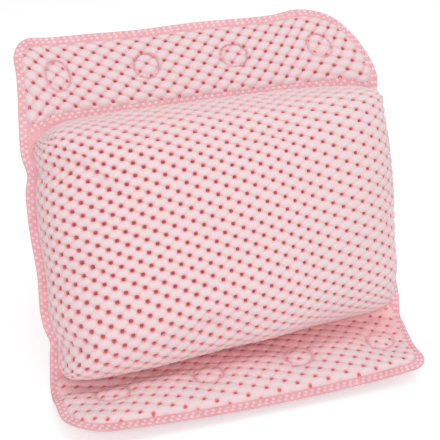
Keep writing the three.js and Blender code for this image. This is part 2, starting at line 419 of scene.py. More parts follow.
    def place(self, x: Points, s: Points, h: Points) -> Points:
        """Bends flat places along the folds.

        Args:
            x: Across the width.
            s: Along the length.
            h: Over the middle of the weld.

        Returns:
            Points in the row frame.
        """
        x, s, h = np.broadcast_arrays(x, s, h)
        low = self.lower_fold.section(s)
        high = self.upper_fold.section(s)
        upper = s > self.span / 2.0
        y, z, slope = (np.where(upper, b, a) for a, b in zip(low, high))
        return np.stack([x, y - h * np.sin(slope), z + h * np.cos(slope)], axis=-1)

    def on_cushion(self, x: Points, s: Points, h: Points) -> Points:
        """Places over the cushion's own plane, which runs straight on past the folds.

        Args:
            x: Across the width.
            s: Along the length.
            h: Over the middle of the weld.

        Returns:
            Points in the row frame.
        """
        x, s, h = np.broadcast_arrays(x, s, h)
        start_y, start_z = self.lower_fold.point
        along, up = math.cos(self.lower_fold.after), math.sin(self.lower_fold.after)
        return np.stack([x, start_y + s * along - h * up, start_z + s * up + h * along], axis=-1)

    def outlined(self, x: Points, s: Points) -> tuple[Points, Points]:
        """Moves flat places with the soft outline: edges that stand in or out, and seams that dip.

        Args:
            x: Across the width.
            s: Along the length.

        Returns:
            The new x and s.
        """
        new_x, new_s = x, s
        for shift in self.shifts:
            if shift.edge is Edge.TOP:
                nearness = eased(self.span + self.seam_half, self.top, s)
                new_s = new_s + shift.shift * nearness * bell(shift.at, shift.reach, x)
                continue
            side = -1.0 if shift.edge is Edge.LEFT else 1.0
            nearness = eased(self.half - self.shift_depth, self.half, x * side)
            new_x = new_x + side * shift.shift * nearness * bell(shift.at, shift.reach, s)
        ends = eased(self.dip_from, self.half - self.border, np.abs(x))
        pull = bell(self.span, self.dip_reach, s) - self.rise_share * bell(0.0, self.rise_reach, s)
        skew = self.skew * x / self.half * bell(0.0, self.skew_reach, s)
        return new_x, new_s - self.dip * ends * pull + skew

    def lifted(self, x: Points, s: Points) -> Points:
        """Height that the soft sheet gains or loses at flat places.

        Args:
            x: Across the width.
            s: Along the length.

        Returns:
            Heights to add.
        """
        past_x = x - self.curl_across * self.half
        past_s = s - self.top + self.curl_along
        diagonal = np.maximum(0.0, past_x + past_s) / self.curl_scale
        curl = -self.curl * diagonal**2
        bow = 1.0 - 2.0 * ((x - self.droop_middle * self.half) / (self.droop_half * self.half)) ** 2
        free = eased(-self.lower_length * self.droop_from, -self.lower_length, s)
        droop = -self.droop * free * bow
        flank = eased(self.half - self.border - self.ripple_inset, self.half, np.abs(x))
        brow = eased(self.top - self.ripple_depth, self.top, s)
        turn = 2.0 * math.pi
        wave = np.sin(turn * s / self.side_wave + self.side_offset * np.sign(x)) * flank
        wave = wave + np.sin(turn * x / self.top_wave + self.top_offset) * brow
        sag = self.sag + (self.sag_left - self.sag) * eased(*self.sag_turn, x)
        return curl + droop + self.ripple * wave - sag * bell(self.sag_at, self.sag_reach, s)

    def laid(self, x: Points, s: Points, h: Points) -> Points:
        """Points in the row frame of flat places on the soft sheet."""
        out_x, out_s = self.outlined(x, s)
        return self.place(out_x, out_s, h + self.lifted(x, s))


@dataclass
class Patch:
    """A piece of the lattice cut to a panel, as loose flat points with faces.

    Args:
        x: Places across.
        s: Places along.
        away: Distance to the nearest hole.
        depth: Depth below the tops of the nubs.
        crease: 1 in the creases between nubs, 0 on their tops; it places their painted shade.
        margin: Distance to the panel's edge.
        faces: Arrays of corner numbers, one for quads and one for triangles.
    """

    x: Points
    s: Points
    away: Points
    depth: Points
    crease: Points
    margin: Points
    faces: list[Points]


@dataclass(frozen=True)
class Panel:
    """Flat shape of a sheet: a box with round corners, less round holes.

    Args:
        box: Its reach across and along.
        corners: Radii of its corners.
        holes: Middle x, middle s and radius of each hole.
    """

    box: Box
    corners: Corners
    holes: tuple[tuple[float, float, float], ...] = ()

    @property
    def middle(self) -> tuple[float, float]:
        """Middle of the box."""
        low_x, high_x, low_s, high_s = self.box
        return (low_x + high_x) / 2.0, (low_s + high_s) / 2.0

    @property
    def size(self) -> tuple[float, float]:
        """Width and length of the box."""
        low_x, high_x, low_s, high_s = self.box
        return high_x - low_x, high_s - low_s

    def edge(self, x: Points, s: Points) -> tuple[Points, Points, Points]:
        """Distance to the edge and the way to it.

        Args:
            x: Across the width.
            s: Along the length.

        Returns:
            Distance, negative inside, and the x and s of the direction out of the panel.
        """
        from_x, from_s = x - self.middle[0], s - self.middle[1]
        radius = np.array(self.corners)[(from_x > 0.0) * 1 + (from_s > 0.0) * 2]
        over_x = np.abs(from_x) - self.size[0] / 2.0
        over_s = np.abs(from_s) - self.size[1] / 2.0
        turned = (over_x + radius > 0.0) & (over_s + radius > 0.0)
        length = np.maximum(np.hypot(over_x + radius, over_s + radius), TINY)
        distance = np.where(turned, length - radius, np.maximum(over_x, over_s))
        beside, above = (over_x >= over_s) * 1.0, (over_x < over_s) * 1.0
        out_x = np.where(turned, (over_x + radius) / length, beside) * np.sign(from_x)
        out_s = np.where(turned, (over_s + radius) / length, above) * np.sign(from_s)
        for hole_x, hole_s, size in self.holes:
            far = np.maximum(np.hypot(x - hole_x, s - hole_s), TINY)
            inside = size - far > distance
            distance = np.where(inside, size - far, distance)
            out_x = np.where(inside, (hole_x - x) / far, out_x)
            out_s = np.where(inside, (hole_s - s) / far, out_s)
        return distance, out_x, out_s

    def walk(self, inset: float, pitch: float, offset: float) -> tuple[Points, Points]:
        """Even places once round the panel.

        Args:
            inset: How far inside the edge.
            pitch: About how far apart.
            offset: Where the first one is, as a share of the pitch.

        Returns:
            Their x and s.
        """
        low_x, high_x, low_s, high_s = self.box
        turns = np.linspace(0.0, math.pi / 2.0, CORNER_STEPS)
        tips = (
            (low_x, low_s, 1, 1, 0),
            (high_x, low_s, -1, 1, 1),
            (high_x, high_s, -1, -1, 3),
            (low_x, high_s, 1, -1, 2),
        )
        xs, ss = [], []
        for number, (tip_x, tip_s, in_x, in_s, corner) in enumerate(tips):
            radius = self.corners[corner]
            turn = turns + math.pi * (1.0 + number / 2.0)
            size = max(radius - inset, LEAST_TURN)
            xs.append(tip_x + in_x * max(radius, inset) + size * np.cos(turn))
            ss.append(tip_s + in_s * max(radius, inset) + size * np.sin(turn))
        x, s = (np.concatenate(parts + [parts[0][:1]]) for parts in (xs, ss))
        length = np.concatenate([[0.0], np.cumsum(np.hypot(np.diff(x), np.diff(s)))])
        count = int(length[-1] / pitch)
        at = (np.arange(count) + offset) * length[-1] / count
        return np.interp(at, length, x), np.interp(at, length, s)


def grid_quads(rows: int, columns: int) -> Points:
    """Corner numbers of the cells of a grid.

    Args:
        rows: Rows of points, numbered row by row.
        columns: Points in a row.

    Returns:
        Four numbers for each cell.
    """
    number = np.arange(rows * columns).reshape(rows, columns)
    corners = [number[:-1, :-1], number[:-1, 1:], number[1:, 1:], number[1:, :-1]]
    return np.stack(corners, axis=-1).reshape(-1, 4)


def grid_rim(rows: int, columns: int) -> Points:
    """Numbers of a grid's outer points, once round from its first corner."""
    number = np.arange(rows * columns).reshape(rows, columns)
    return np.concatenate([number[0, :-1], number[:-1, -1], number[-1, :0:-1], number[:0:-1, 0]])


def cut_faces(outside: Points) -> list[Points]:
    """Faces of a grid inside a shape.

    Args:
        outside: Which grid points lie outside.

    Returns:
        Quads, and triangles where one corner of a cell is outside.
    """
    quads = grid_quads(*outside.shape)
    out = outside.reshape(-1)[quads]
    cut = quads[out.sum(axis=1) == 1]
    gone = np.argmax(outside.reshape(-1)[cut], axis=1)
    rest = (gone[:, None] + np.array([1, 2, 3])) % 4
    return [quads[out.sum(axis=1) == 0], np.take_along_axis(cut, rest, axis=1)]


def renumbered(faces: Sequence[Points]) -> tuple[Points, list[Points]]:
    """Drops the points that no face uses.

    Args:
        faces: Blocks of corner numbers.

    Returns:
        Numbers of the points that are used, and the blocks in terms of those alone.
    """
    corners = np.concatenate([block.reshape(-1) for block in faces])
    used, number = np.unique(corners, return_inverse=True)
    fresh = []
    start = 0
    for block in faces:
        fresh.append(number[start : start + block.size].reshape(block.shape))
        start += block.size
    return used, fresh


def open_sides(faces: Sequence[Points], total: int) -> Points:
    """Sides that belong to one face only.

    Args:
        faces: Blocks of corner numbers.
        total: Number of points.

    Returns:
        Pairs of point numbers, in the order of their face.
    """
    pairs = []
    for block in faces:
        corners = block.shape[1]
        pairs += [block[:, [k, (k + 1) % corners]] for k in range(corners)]
    sides = np.concatenate(pairs)
    forward = sides[:, 0] * total + sides[:, 1]
    backward = sides[:, 1] * total + sides[:, 0]
    return sides[~np.isin(forward, backward)]


def face_normals(points: Points, block: Points) -> Points:
    """Normals of faces.

    Args:
        points: The points.
        block: Corner numbers of quads or of triangles.

    Returns:
        Vectors, each twice as long as its face is large.
    """
    corners = points[block]
    if block.shape[1] == 4:
        return np.cross(corners[:, 2] - corners[:, 0], corners[:, 3] - corners[:, 1])
    return np.cross(corners[:, 1] - corners[:, 0], corners[:, 2] - corners[:, 0])


def gathered_at_points(values: Sequence[Points], faces: Sequence[Points], total: int) -> Points:
    """Sum over the faces round each point.

    Args:
        values: One array of face values for each block of faces.
        faces: Blocks of corner numbers.
        total: Number of points.

    Returns:
        Sums at the points.
    """
    sums = np.zeros((total,) + values[0].shape[1:])
    for value, block in zip(values, faces):
        for k in range(block.shape[1]):
            np.add.at(sums, block[:, k], value)
    return sums


def zipped(outer: Points, outer_turn: Points, inner: Points, inner_turn: Points) -> list[list[int]]:
    """Triangles between two loops.

    Args:
        outer: Point numbers of the loop whose faces turn the same way.
        outer_turn: Their angles round the middle.
        inner: Point numbers of the loop whose faces turn the other way.
        inner_turn: Their angles round the middle.

    Returns:
        The triangles.
    """
    order, other = np.argsort(outer_turn), np.argsort(inner_turn)
    ring = np.append(outer[order], outer[order][:1])
    ring_turn = np.append(outer_turn[order], outer_turn[order][0] + 2.0 * math.pi)
    core = np.append(inner[other], inner[other][:1])
    core_turn = np.append(inner_turn[other], inner_turn[other][0] + 2.0 * math.pi)
    triangles = []
    i = j = 0
    while i < len(ring) - 1 or j < len(core) - 1:
        if j == len(core) - 1 or (i < len(ring) - 1 and ring_turn[i + 1] <= core_turn[j + 1]):
            triangles.append([int(ring[i + 1]), int(ring[i]), int(core[j])])
            i += 1
        else:
            triangles.append([int(core[j]), int(core[j + 1]), int(ring[i])])
            j += 1
    return triangles


@dataclass(frozen=True)
class MeshLattice:
    """Staggered nubs and holes of the foamed mesh.

    Args:
        right: Step from a hole to the next one down to the right, as x and s.
        left: Step from a hole to the next one down to the left.
        cells: Grid cells in one step.
        hole_radius: Of a hole.
        right_crease: Depth of the creases that run down to the right.
        left_crease: Depth of the creases that run down to the left.
        knot: Further depth where two creases meet.
        pit: Depth of a hole below that.
        bow: Bend of the rows, as the s gained over the square of x.
        puff: How square the nubs are.
        hole_shape: 2 for round holes, more for square ones.
        hole_growth: Share by which holes grow with x, per metre.
        hole_sizes: Least and greatest share of the usual size.
        calm: Distances from the panel's edge between which the holes appear.
        rim_steps: Distances from a hole, in grid cells.
        rim_shares: Where points at these go, in hole radii; those at the last stay.
        pull_full: Distance, in grid cells, within which they follow the hole's own size.
        pit_edge: Where the pit's wall falls, in hole radii.
        crease_power: How sharply the creases' painted shade fades.
    """

    right: tuple[float, float]
    left: tuple[float, float]
    cells: int
    hole_radius: float
    right_crease: float
    left_crease: float
    knot: float
    pit: float
    bow: float = 0.0
    puff: float = 3.2
    hole_shape: float = 3.0
    hole_growth: float = 0.0
    hole_sizes: Band = (0.8, 1.25)
    calm: Band = (2.0 * MM, 4.5 * MM)
    rim_steps: tuple[float, ...] = (0.0, 0.95, 1.12, 1.68, 1.82, 2.25, 3.2)
    rim_shares: tuple[float, ...] = (0.0, 0.74, 0.8, 1.0, 1.06, 1.34)
    pull_full: float = 1.9
    pit_edge: Band = (0.78, 1.02)
    crease_power: float = 1.4

    @property
    def cell(self) -> float:
        """Mean size of a grid cell."""
        return (math.hypot(*self.right) + math.hypot(*self.left)) / (2.0 * self.cells)

    def patch(self, panel: Panel) -> Patch:
        """Cuts the lattice to a panel.

        Args:
            panel: Shape to fill.

        Returns:
            The points inside it, with the outermost drawn onto its edge.
        """
        p, q = self.cover(panel.box)
        x = p * self.right[0] + q * self.left[0]
        s = p * self.right[1] + q * self.left[1] + self.bow * x * x
        distance, out_x, out_s = panel.edge(x, s)
        spans = [np.abs(step[0] * out_x + step[1] * out_s) for step in (self.right, self.left)]
        near = np.abs(distance) <= EDGE_CELLS * np.maximum(*spans) / self.cells
        outside = (distance > 0.0) & ~near
        calm = eased(*self.calm, -distance)
        dp, dq = p - np.round(p), q - np.round(q)
        dx = dp * self.right[0] + dq * self.left[0]
        ds = dp * self.right[1] + dq * self.left[1]
        power = self.hole_shape
        far = (np.abs(dx) ** power + np.abs(ds) ** power) ** (1.0 / power)
        size = np.clip(1.0 + self.hole_growth * x, *self.hole_sizes)
        factor = 1.0 + (self.gather(far, size) - 1.0) * calm
        away = far * factor / size
        drawn = (np.round(p) + dp * factor, np.round(q) + dq * factor)
        depth, crease = self.depth(*drawn, away, calm)
        x = np.where(near, x - distance * out_x, x + dx * (factor - 1.0))
        s = np.where(near, s - distance * out_s, s + ds * (factor - 1.0))
        used, faces = renumbered([block[:, ::-1] for block in cut_faces(outside)])
        margin = np.where(near, 0.0, -distance)
        flat = [grid.reshape(-1)[used] for grid in (x, s, away, depth, crease, margin)]
        return Patch(*flat, faces)

    def cover(self, box: Box) -> tuple[Points, Points]:
        """Grid of lattice steps that covers a box.

        Args:
            box: What it covers.

        Returns:
            Steps to the right and steps to the left.
        """
        low_x, high_x, low_s, high_s = box
        bend = abs(self.bow) * max(abs(low_x), abs(high_x)) ** 2
        tips = [(x, s) for x in (low_x, high_x) for s in (low_s - bend, high_s + bend)]
        steps = np.linalg.solve(np.array([self.right, self.left]).T, np.array(tips).T)
        low = np.floor(steps.min(axis=1)).astype(int) - 1
        high = np.ceil(steps.max(axis=1)).astype(int) + 1
        cells = self.cells
        lines = [np.arange(a * cells, b * cells + 1) / cells for a, b in zip(low, high)]
        return np.meshgrid(*lines)

    def gather(self, away: Points, size: Points) -> Points:
        """Factors that draw the grid points round each hole onto its rim.

        Args:
            away: Distance to the nearest hole.
            size: Of that hole, as a share of the usual size.

        Returns:
            The factors.
        """
        rim = self.hole_radius / self.cell
        last = self.rim_steps[-1]
        radii = [share * rim for share in self.rim_shares] + [last]
        drawn = np.interp(away / self.cell, self.rim_steps, radii) * self.cell
        pull = eased(last, self.pull_full, away / self.cell)
        near = (away > SAME_PLACE) & (away < last * self.cell)
        return np.where(near, drawn * (1.0 + (size - 1.0) * pull) / np.maximum(away, TINY), 1.0)

    def depth(self, p: Points, q: Points, away: Points, calm: Points) -> tuple[Points, Points]:
        """Depth of the surface below the tops of the nubs.

        Args:
            p: Lattice steps to the right.
            q: Lattice steps to the left.
            away: Distance to the nearest hole.
            calm: 0 where holes are left out, up to 1.

        Returns:
            Depths, and how much each point lies in a crease.
        """
        right = np.abs(2.0 * (q - np.floor(q)) - 1.0) ** self.puff
        left = np.abs(2.0 * (p - np.floor(p)) - 1.0) ** self.puff
        wall = [share * self.hole_radius for share in self.pit_edge]
        hole = (1.0 - eased(*wall, away)) * calm
        depth = self.right_crease * right + self.left_crease * left + self.knot * right * left
        shares = (right * self.right_crease / FULL_SHADE_DEPTH, left * self.left_crease / FULL_SHADE_DEPTH)
        return depth + self.pit * hole, np.clip(np.maximum(*shares), 0.0, 1.0) ** self.crease_power


def put(name: str, data: bpy.types.ID) -> Thing:
    """Links a new object with this data to the scene."""
    thing = bpy.data.objects.new(name, data)
    bpy.context.scene.collection.objects.link(thing)
    return thing


@dataclass
class MeshParts:
    """Points, faces and marks gathered for one piece."""

    points: list[Points] = field(default_factory=list)
    faces: list[list[int]] = field(default_factory=list)
    finishes: list[int] = field(default_factory=list)
    marks: list[Marks] = field(default_factory=list)
    count: int = 0

    def add(
        self, points: Points, faces: Loops, finish: int = 0, marks: Marks | None = None
    ) -> None:
        """Adds a loose part.

        Args:
            points: Its points.
            faces: Its faces, numbered from its own first point.
            finish: Number of its finish on the piece.
            marks: Values of marks at its first points; all others are plain.
        """
        start = self.count
        total = len(points)
        self.points.append(points)
        self.faces.extend([int(corner) + start for corner in face] for face in faces)
        self.finishes.extend([finish] * len(faces))
        values = {name: np.full(total, plain) for name, plain in PLAIN_MARKS.items()}
        for name, given in (marks or {}).items():
            values[name][: len(given)] = given
        self.marks.append(values)
        self.count += total

    def sheet(
        self, front: Points, back: Points, faces: Sequence[Points], marks: Marks | None = None
    ) -> None:
        """Adds a closed sheet.

        Args:
            front: Points on the front.
            back: As many points on the back.
            faces: Blocks of corner numbers on the front.
            marks: Values on the front for the marks that aren't plain; the back has the same.
        """
        total = len(front)
        first, last = open_sides(faces, total).T
        corners = np.stack([last, first, first + total, last + total], axis=1).tolist()
        for block in faces:
            corners += block.tolist() + (block[:, ::-1] + total).tolist()
        both = {name: np.concatenate([values, values]) for name, values in (marks or {}).items()}
        self.add(np.concatenate([front, back]), corners, 0, both)

    def piece(self, name: str, materials: Sequence[Material], crease: float = 62.0) -> Thing:
        """Makes the object.

        Args:
            name: Name of the piece.
            materials: Its finishes, in the order of their numbers.
            crease: Edges that turn by more than this, in degrees, stay sharp.

        Returns:
            The object, linked to the scene.
        """
        mesh = bpy.data.meshes.new(name)
        mesh.from_pydata(np.concatenate(self.points).tolist(), [], self.faces)
        for material in materials:
            mesh.materials.append(material)
        mesh.polygons.foreach_set("material_index", self.finishes)
        mesh.polygons.foreach_set("use_smooth", [True] * len(self.faces))
        for mark in PLAIN_MARKS:
            values = np.concatenate([part[mark] for part in self.marks])
            layer = mesh.attributes.new(mark, "FLOAT", "POINT")
            layer.data.foreach_set("value", values.astype(np.float32))
        mesh.update()
        mesh.set_sharp_from_angle(angle=math.radians(crease))
        LOG.info("%s: %d points, %d faces", name, self.count, len(self.faces))
        return put(name, mesh)


class NodeSheet:
    """Short calls for wiring shader nodes."""

    def __init__(self, tree: Tree) -> None:
        """Takes the tree to fill."""
        self.tree = tree

    def node(self, kind: str, *sources: Socket, **settings: Any) -> Node:
        """Adds a node.

        Args:
            kind: Its type.
            *sources: What feeds its first inputs.
            **settings: Its properties.

        Returns:
            The node.
        """
        made = self.tree.nodes.new(kind)
        for key, value in settings.items():
            setattr(made, key, value)
        for source, target in zip(sources, made.inputs):
            self.link(source, target)
        return made

    def fill(self, node: Node, values: dict[str, Any]) -> Node:
        """Sets inputs of a node to plain values.

        Args:
            node: The node.
            values: Value of each input, by name.

        Returns:
            The same node.
        """
        for label, value in values.items():
            node.inputs[label].default_value = value
        return node

    def link(self, source: Socket, target: Socket) -> None:
        """Joins two sockets."""
        self.tree.links.new(source, target)

    def mark(self, name: str) -> Socket:
        """Value of a mark on the mesh."""
        return self.node("ShaderNodeAttribute", attribute_name=name).outputs["Fac"]

    def noise(self, detail: float) -> Node:
        """Adds cloud noise that stays with its piece.

        Args:
            detail: How many finer layers it has.

        Returns:
            The node, whose scale is left to the caller.
        """
        place = self.node("ShaderNodeTexCoord").outputs["Object"]
        return self.fill(self.node("ShaderNodeTexNoise", place), {"Detail": detail})

    def ramp(self, value: Socket, stops: Sequence[tuple[float, float]]) -> Socket:
        """Maps a value through grey stops.

        Args:
            value: What is mapped.
            stops: Place and brightness of each stop.

        Returns:
            The mapped value.
        """
        made = self.node("ShaderNodeValToRGB", value)
        for element, (at, grey) in zip(made.color_ramp.elements, stops):
            element.position = at
            element.color = (grey, grey, grey, 1.0)
        return made.outputs["Color"]

    def mix(self, share: Socket, low: Any, high: Any) -> Socket:
        """Mixes two colours.

        Args:
            share: Share of the second.
            low: The first, a socket or a plain colour.
            high: The second.

        Returns:
            The mixed colour.
        """
        made = self.node("ShaderNodeMix", share, data_type="RGBA")
        for number, colour in zip(MIX_COLOURS, (low, high)):
            if isinstance(colour, Socket):
                self.link(colour, made.inputs[number])
            else:
                made.inputs[number].default_value = colour
        return made.outputs[MIX_RESULT]


def new_group(
    name: str, inputs: dict[str, str], outputs: dict[str, str]
) -> tuple[NodeSheet, Node, Node]:
    """Starts a shader node group.

    Args:
        name: Of the group.
        inputs: Socket type of each input, by name.
        outputs: Socket type of each output, by name.

    Returns:
        The group's sheet, and the nodes that hold its inputs and its outputs.
    """
    group = bpy.data.node_groups.new(name, "ShaderNodeTree")
    for way, sockets in (("INPUT", inputs), ("OUTPUT", outputs)):
        for label, kind in sockets.items():
            group.interface.new_socket(name=label, in_out=way, socket_type=kind)
    sheet = NodeSheet(group)
    return sheet, sheet.node("NodeGroupInput"), sheet.node("NodeGroupOutput")


def foam_skin_group() -> Tree:
    """Makes the fine pores and soft mottling of foamed vinyl.

    Returns:
        A group that puts out a height for bump and a mottling value.
    """
    number = "NodeSocketFloat"
    sheet, given, out = new_group(
        "foam_skin", {"Pores": number, "Clouds": number}, {"Height": number, "Mottle": number}
    )
    for scale, detail, label in (("Pores", 3.0, "Height"), ("Clouds", 2.0, "Mottle")):
        noise = sheet.noise(detail)
        sheet.link(given.outputs[scale], noise.inputs["Scale"])
        sheet.link(noise.outputs["Fac"], out.inputs[label])
    return sheet.tree


def mesh_tint_group() -> Tree:
    """Colours nubs, the rims of holes, the pits and pressed rings from the marks on the mesh.

    It paints shade into the creases, a glow onto the hole rims and a red glow into the shaded lower
    fold.

    Returns:
        A group that puts out a colour.
    """
    colour = "NodeSocketColor"
    inputs = dict.fromkeys(TINTS, colour) | {"Mottle": "NodeSocketFloat"}
    sheet, given, out = new_group("mesh_tint", inputs, {"Colour": colour})
    tint = given.outputs
    hole = sheet.mark(HOLE_MARK)
    nub = sheet.mix(sheet.ramp(tint["Mottle"], MOTTLE_STOPS), tint["Nub"], tint["Cloud"])
    # painted shade in the creases between nubs
    fold = sheet.ramp(sheet.mark(CREASE_SHADE_MARK), CREASE_SHADE_STOPS)
    crease_shaded = sheet.mix(fold, nub, tint["Crease"])
    # the foam's pink round each hole, with a painted glow of light through the thin foam
    rim = sheet.mix(sheet.ramp(hole, RIM_GLOW_STOPS), crease_shaded, tint["Rim"])
    pressed = sheet.mix(sheet.mark(PRESS_MARK), rim, tint["Pressed"])
    # painted red glow in the shaded lower fold and along the cushion's lower and left rims
    with_painted_glow = sheet.mix(sheet.mark(PAINTED_GLOW_MARK), pressed, tint["Painted_glow"])
    pitted = sheet.mix(sheet.ramp(hole, PIT_STOPS), with_painted_glow, tint["Pit"])
    sheet.link(pitted, out.inputs["Colour"])
    return sheet.tree


def new_material(name: str) -> tuple[Material, NodeSheet, Node]:
    """Starts a material.

    Args:
        name: Of the material.

    Returns:
        The material, its sheet of nodes and its shader.
    """
    material = bpy.data.materials.new(name)
    material.use_nodes = True
    return material, NodeSheet(material.node_tree), material.node_tree.nodes["Principled BSDF"]


@dataclass(frozen=True)
class FoamSkin:
    """The skin that every foamed finish has.

    Args:
        roughness: Of the surface.
        gloss: Its specular level.
        pores: Scale of the pores.
        clouds: Scale of the clouds of colour.
        grain: Strength of the pores' bump.
        grain_depth: Depth of that bump.
    """

    roughness: float
    gloss: float
    pores: float
    clouds: float
    grain: float
    grain_depth: float

    def dress(self, sheet: NodeSheet, shader: Node, group: Tree) -> Socket:
        """Gives a shader this skin.

        Args:
            sheet: The material's nodes.
            shader: Its shader.
            group: Group for the foam's skin.

        Returns:
            The mottling value, for the colour.
        """
        foam = sheet.node("ShaderNodeGroup", node_tree=group)
        sheet.fill(foam, {"Pores": self.pores, "Clouds": self.clouds})
        bump = sheet.node("ShaderNodeBump")
        sheet.fill(bump, {"Strength": self.grain, "Distance": self.grain_depth})
        sheet.link(foam.outputs["Height"], bump.inputs["Height"])
        sheet.link(bump.outputs["Normal"], shader.inputs["Normal"])
        sheet.fill(shader, {"Roughness": self.roughness, "Specular IOR Level": self.gloss})
        return foam.outputs["Mottle"]


MESH_SKIN = FoamSkin(
    roughness=0.62, gloss=0.35, pores=900.0, clouds=60.0, grain=0.12, grain_depth=0.4 * MM
)
WELD_SKIN = FoamSkin(
    roughness=0.5, gloss=0.4, pores=700.0, clouds=90.0, grain=0.2, grain_depth=0.5 * MM
)


@dataclass(frozen=True)
class MeshFinish:
    """Foamed mesh: pale nubs, rosy hole rims with painted glow, dark red pits, painted shade in the
    creases and a painted red glow in the lower fold.
    """

    name: str
    nub: Colour
    cloud: Colour
    crease: Colour
    rim: Colour
    pit: Colour
    pressed: Colour
    painted_glow: Colour
    skin: FoamSkin = MESH_SKIN
    sheen: float = 0.12

    def material(self, skin: Tree, tint: Tree) -> Material:
        """Builds the material.

        Args:
            skin: Group for the foam's skin.
            tint: Group for the lattice's colours.

        Returns:
            The material.
        """
        material, sheet, shader = new_material(self.name)
        mottle = self.skin.dress(sheet, shader, skin)
        colour = sheet.node("ShaderNodeGroup", node_tree=tint)
        sheet.fill(colour, {label: getattr(self, label.lower()) for label in TINTS})
        sheet.link(mottle, colour.inputs["Mottle"])
        sheet.link(colour.outputs["Colour"], shader.inputs["Base Color"])
        sheet.fill(shader, {"Sheen Weight": self.sheen})
        return material


@dataclass(frozen=True)
class FoamFinish:
    """Plain foamed vinyl: pressed strips, beads and the filling."""

    name: str
    colour: Colour
    cloud: Colour
    skin: FoamSkin = WELD_SKIN

    def material(self, skin: Tree) -> Material:
        """Builds the material.

        Args:
            skin: Group for the foam's skin.

        Returns:
            The material.
        """
        material, sheet, shader = new_material(self.name)
        share = sheet.ramp(self.skin.dress(sheet, shader, skin), MOTTLE_STOPS)
        sheet.link(sheet.mix(share, self.colour, self.cloud), shader.inputs["Base Color"])
        return material


@dataclass(frozen=True)
class ClearFinish:
    """Clear soft vinyl of the cups, with hazy spots."""

    name: str
    colour: Colour
    index: float = 1.5
    clarity: float = 0.88
    haze: float = 140.0
    haze_detail: float = 2.0
    # roughness in the clearest and in the haziest spots
    roughness: Band = (0.072, 0.192)

    def material(self) -> Material:
        """Builds the material.

        Returns:
            The material.
        """
        material, sheet, shader = new_material(self.name)
        noise = sheet.fill(sheet.noise(self.haze_detail), {"Scale": self.haze})
        rough = sheet.node("ShaderNodeMapRange", noise.outputs["Fac"])
        sheet.fill(rough, dict(zip(("To Min", "To Max"), self.roughness)))
        sheet.link(rough.outputs["Result"], shader.inputs["Roughness"])
        values = {"Base Color": self.colour, "IOR": self.index, "Transmission Weight": self.clarity}
        sheet.fill(shader, values)
        return material


@dataclass
class Palette:
    """Every finish on the pillow, as materials."""

    mesh: Material
    backing: Material
    weld: Material
    bead: Material
    core: Material
    cup: Material

    @classmethod
    def mixed(cls) -> "Palette":
        """Builds the shared groups and all materials.

        Returns:
            The palette.
        """
        skin = foam_skin_group()
        tint = mesh_tint_group()
        # In both mesh finishes the crease colour is painted shade, the rim colour is the foam's
        # pink with a painted glow, and the last colour is a painted red glow for the shaded lower
        # fold.
        mesh = MeshFinish(
            "pink_mesh",
            nub=linear(233, 213, 215),
            cloud=linear(236, 210, 213),
            crease=linear(226, 189, 194),
            rim=linear(243, 190, 193),
            pit=linear(209, 110, 114),
            pressed=linear(222, 140, 148),
            painted_glow=linear(255, 194, 197),
        )
        backing = MeshFinish(
            "pink_backing",
            nub=linear(236, 208, 213),
            cloud=linear(236, 200, 207),
            crease=linear(222, 172, 180),
            rim=linear(236, 182, 191),
            pit=linear(182, 84, 96),
            pressed=linear(222, 150, 160),
            painted_glow=linear(230, 100, 108),
            skin=replace(MESH_SKIN, roughness=0.7),
        )
        weld = FoamFinish("pressed_weld", linear(234, 178, 184), linear(228, 167, 174))
        bead = FoamFinish("weld_bead", linear(245, 208, 212), linear(243, 199, 204))
        coarse = replace(WELD_SKIN, roughness=0.85, pores=260.0, grain=0.5)
        core = FoamFinish("foam_filling", linear(190, 84, 98), linear(176, 70, 86), coarse)
        cup = ClearFinish("clear_cup", linear(244, 246, 248))
        meshes = [finish.material(skin, tint) for finish in (mesh, backing)]
        foams = [finish.material(skin) for finish in (weld, bead, core)]
        return cls(*meshes, *foams, cup.material())


@dataclass
class Assembly:
    """A sub-assembly of the pillow.

    Args:
        plan: Plan of the pillow.
        palette: Its finishes.
    """

    plan: PillowPlan
    palette: Palette


COVER_CLOTH: dict[str, Any] = {
    "quality": 6,
    "mass": 0.12,
    "tension_stiffness": 18.0,
    "compression_stiffness": 18.0,
    "shear_stiffness": 6.0,
    "bending_stiffness": 0.6,
    "use_pressure": True,
    "uniform_pressure_force": 3.0,
    "vertex_group_mass": "rim",
}
BACK_RELIEF: dict[str, float] = {
    "cells": 5,
    "right_crease": 0.5 * MM,
    "left_crease": 0.4 * MM,
    "knot": 0.3 * MM,
    "pit": 0.8 * MM,
}
LAST_STEP = 1.001  # keeps a place on a grid's last line inside its last cell


@dataclass
class CoverGrid:
    """A coarse grid over the cushion's cover, measured along its curve.

    Args:
        lines_x: Its lines across.
        lines_s: Its lines along.
        u: Plan shares across, at each grid point.
        v: Plan shares along, at each grid point.
        swell: How far each grid point swells.
    """

    lines_x: Points
    lines_s: Points
    u: Points
    v: Points
    swell: Points

    @staticmethod
    def steps(lines: Points, at: Points) -> tuple[Points, Points]:
        """Finds places among even lines.

        Args:
            lines: The lines.
            at: The places.

        Returns:
            Number of the line before each place, and the share of the step past it.
        """
        step = np.clip((at - lines[0]) / (lines[1] - lines[0]), 0.0, len(lines) - LAST_STEP)
        number = step.astype(int)
        return number, (step - number)[:, None]

    def swell_at(self, x: Points, s: Points) -> Points:
        """Reads the swell with straight steps between the lines.

        Args:
            x: Places across.
            s: Places along.

        Returns:
            Vectors at the places.
        """
        i, a = self.steps(self.lines_x, x)
        j, b = self.steps(self.lines_s, s)
        low, high = (
            self.swell[row, i] * (1.0 - a) + self.swell[row, i + 1] * a for row in (j, j + 1)
        )
        return low * (1.0 - b) + high * b


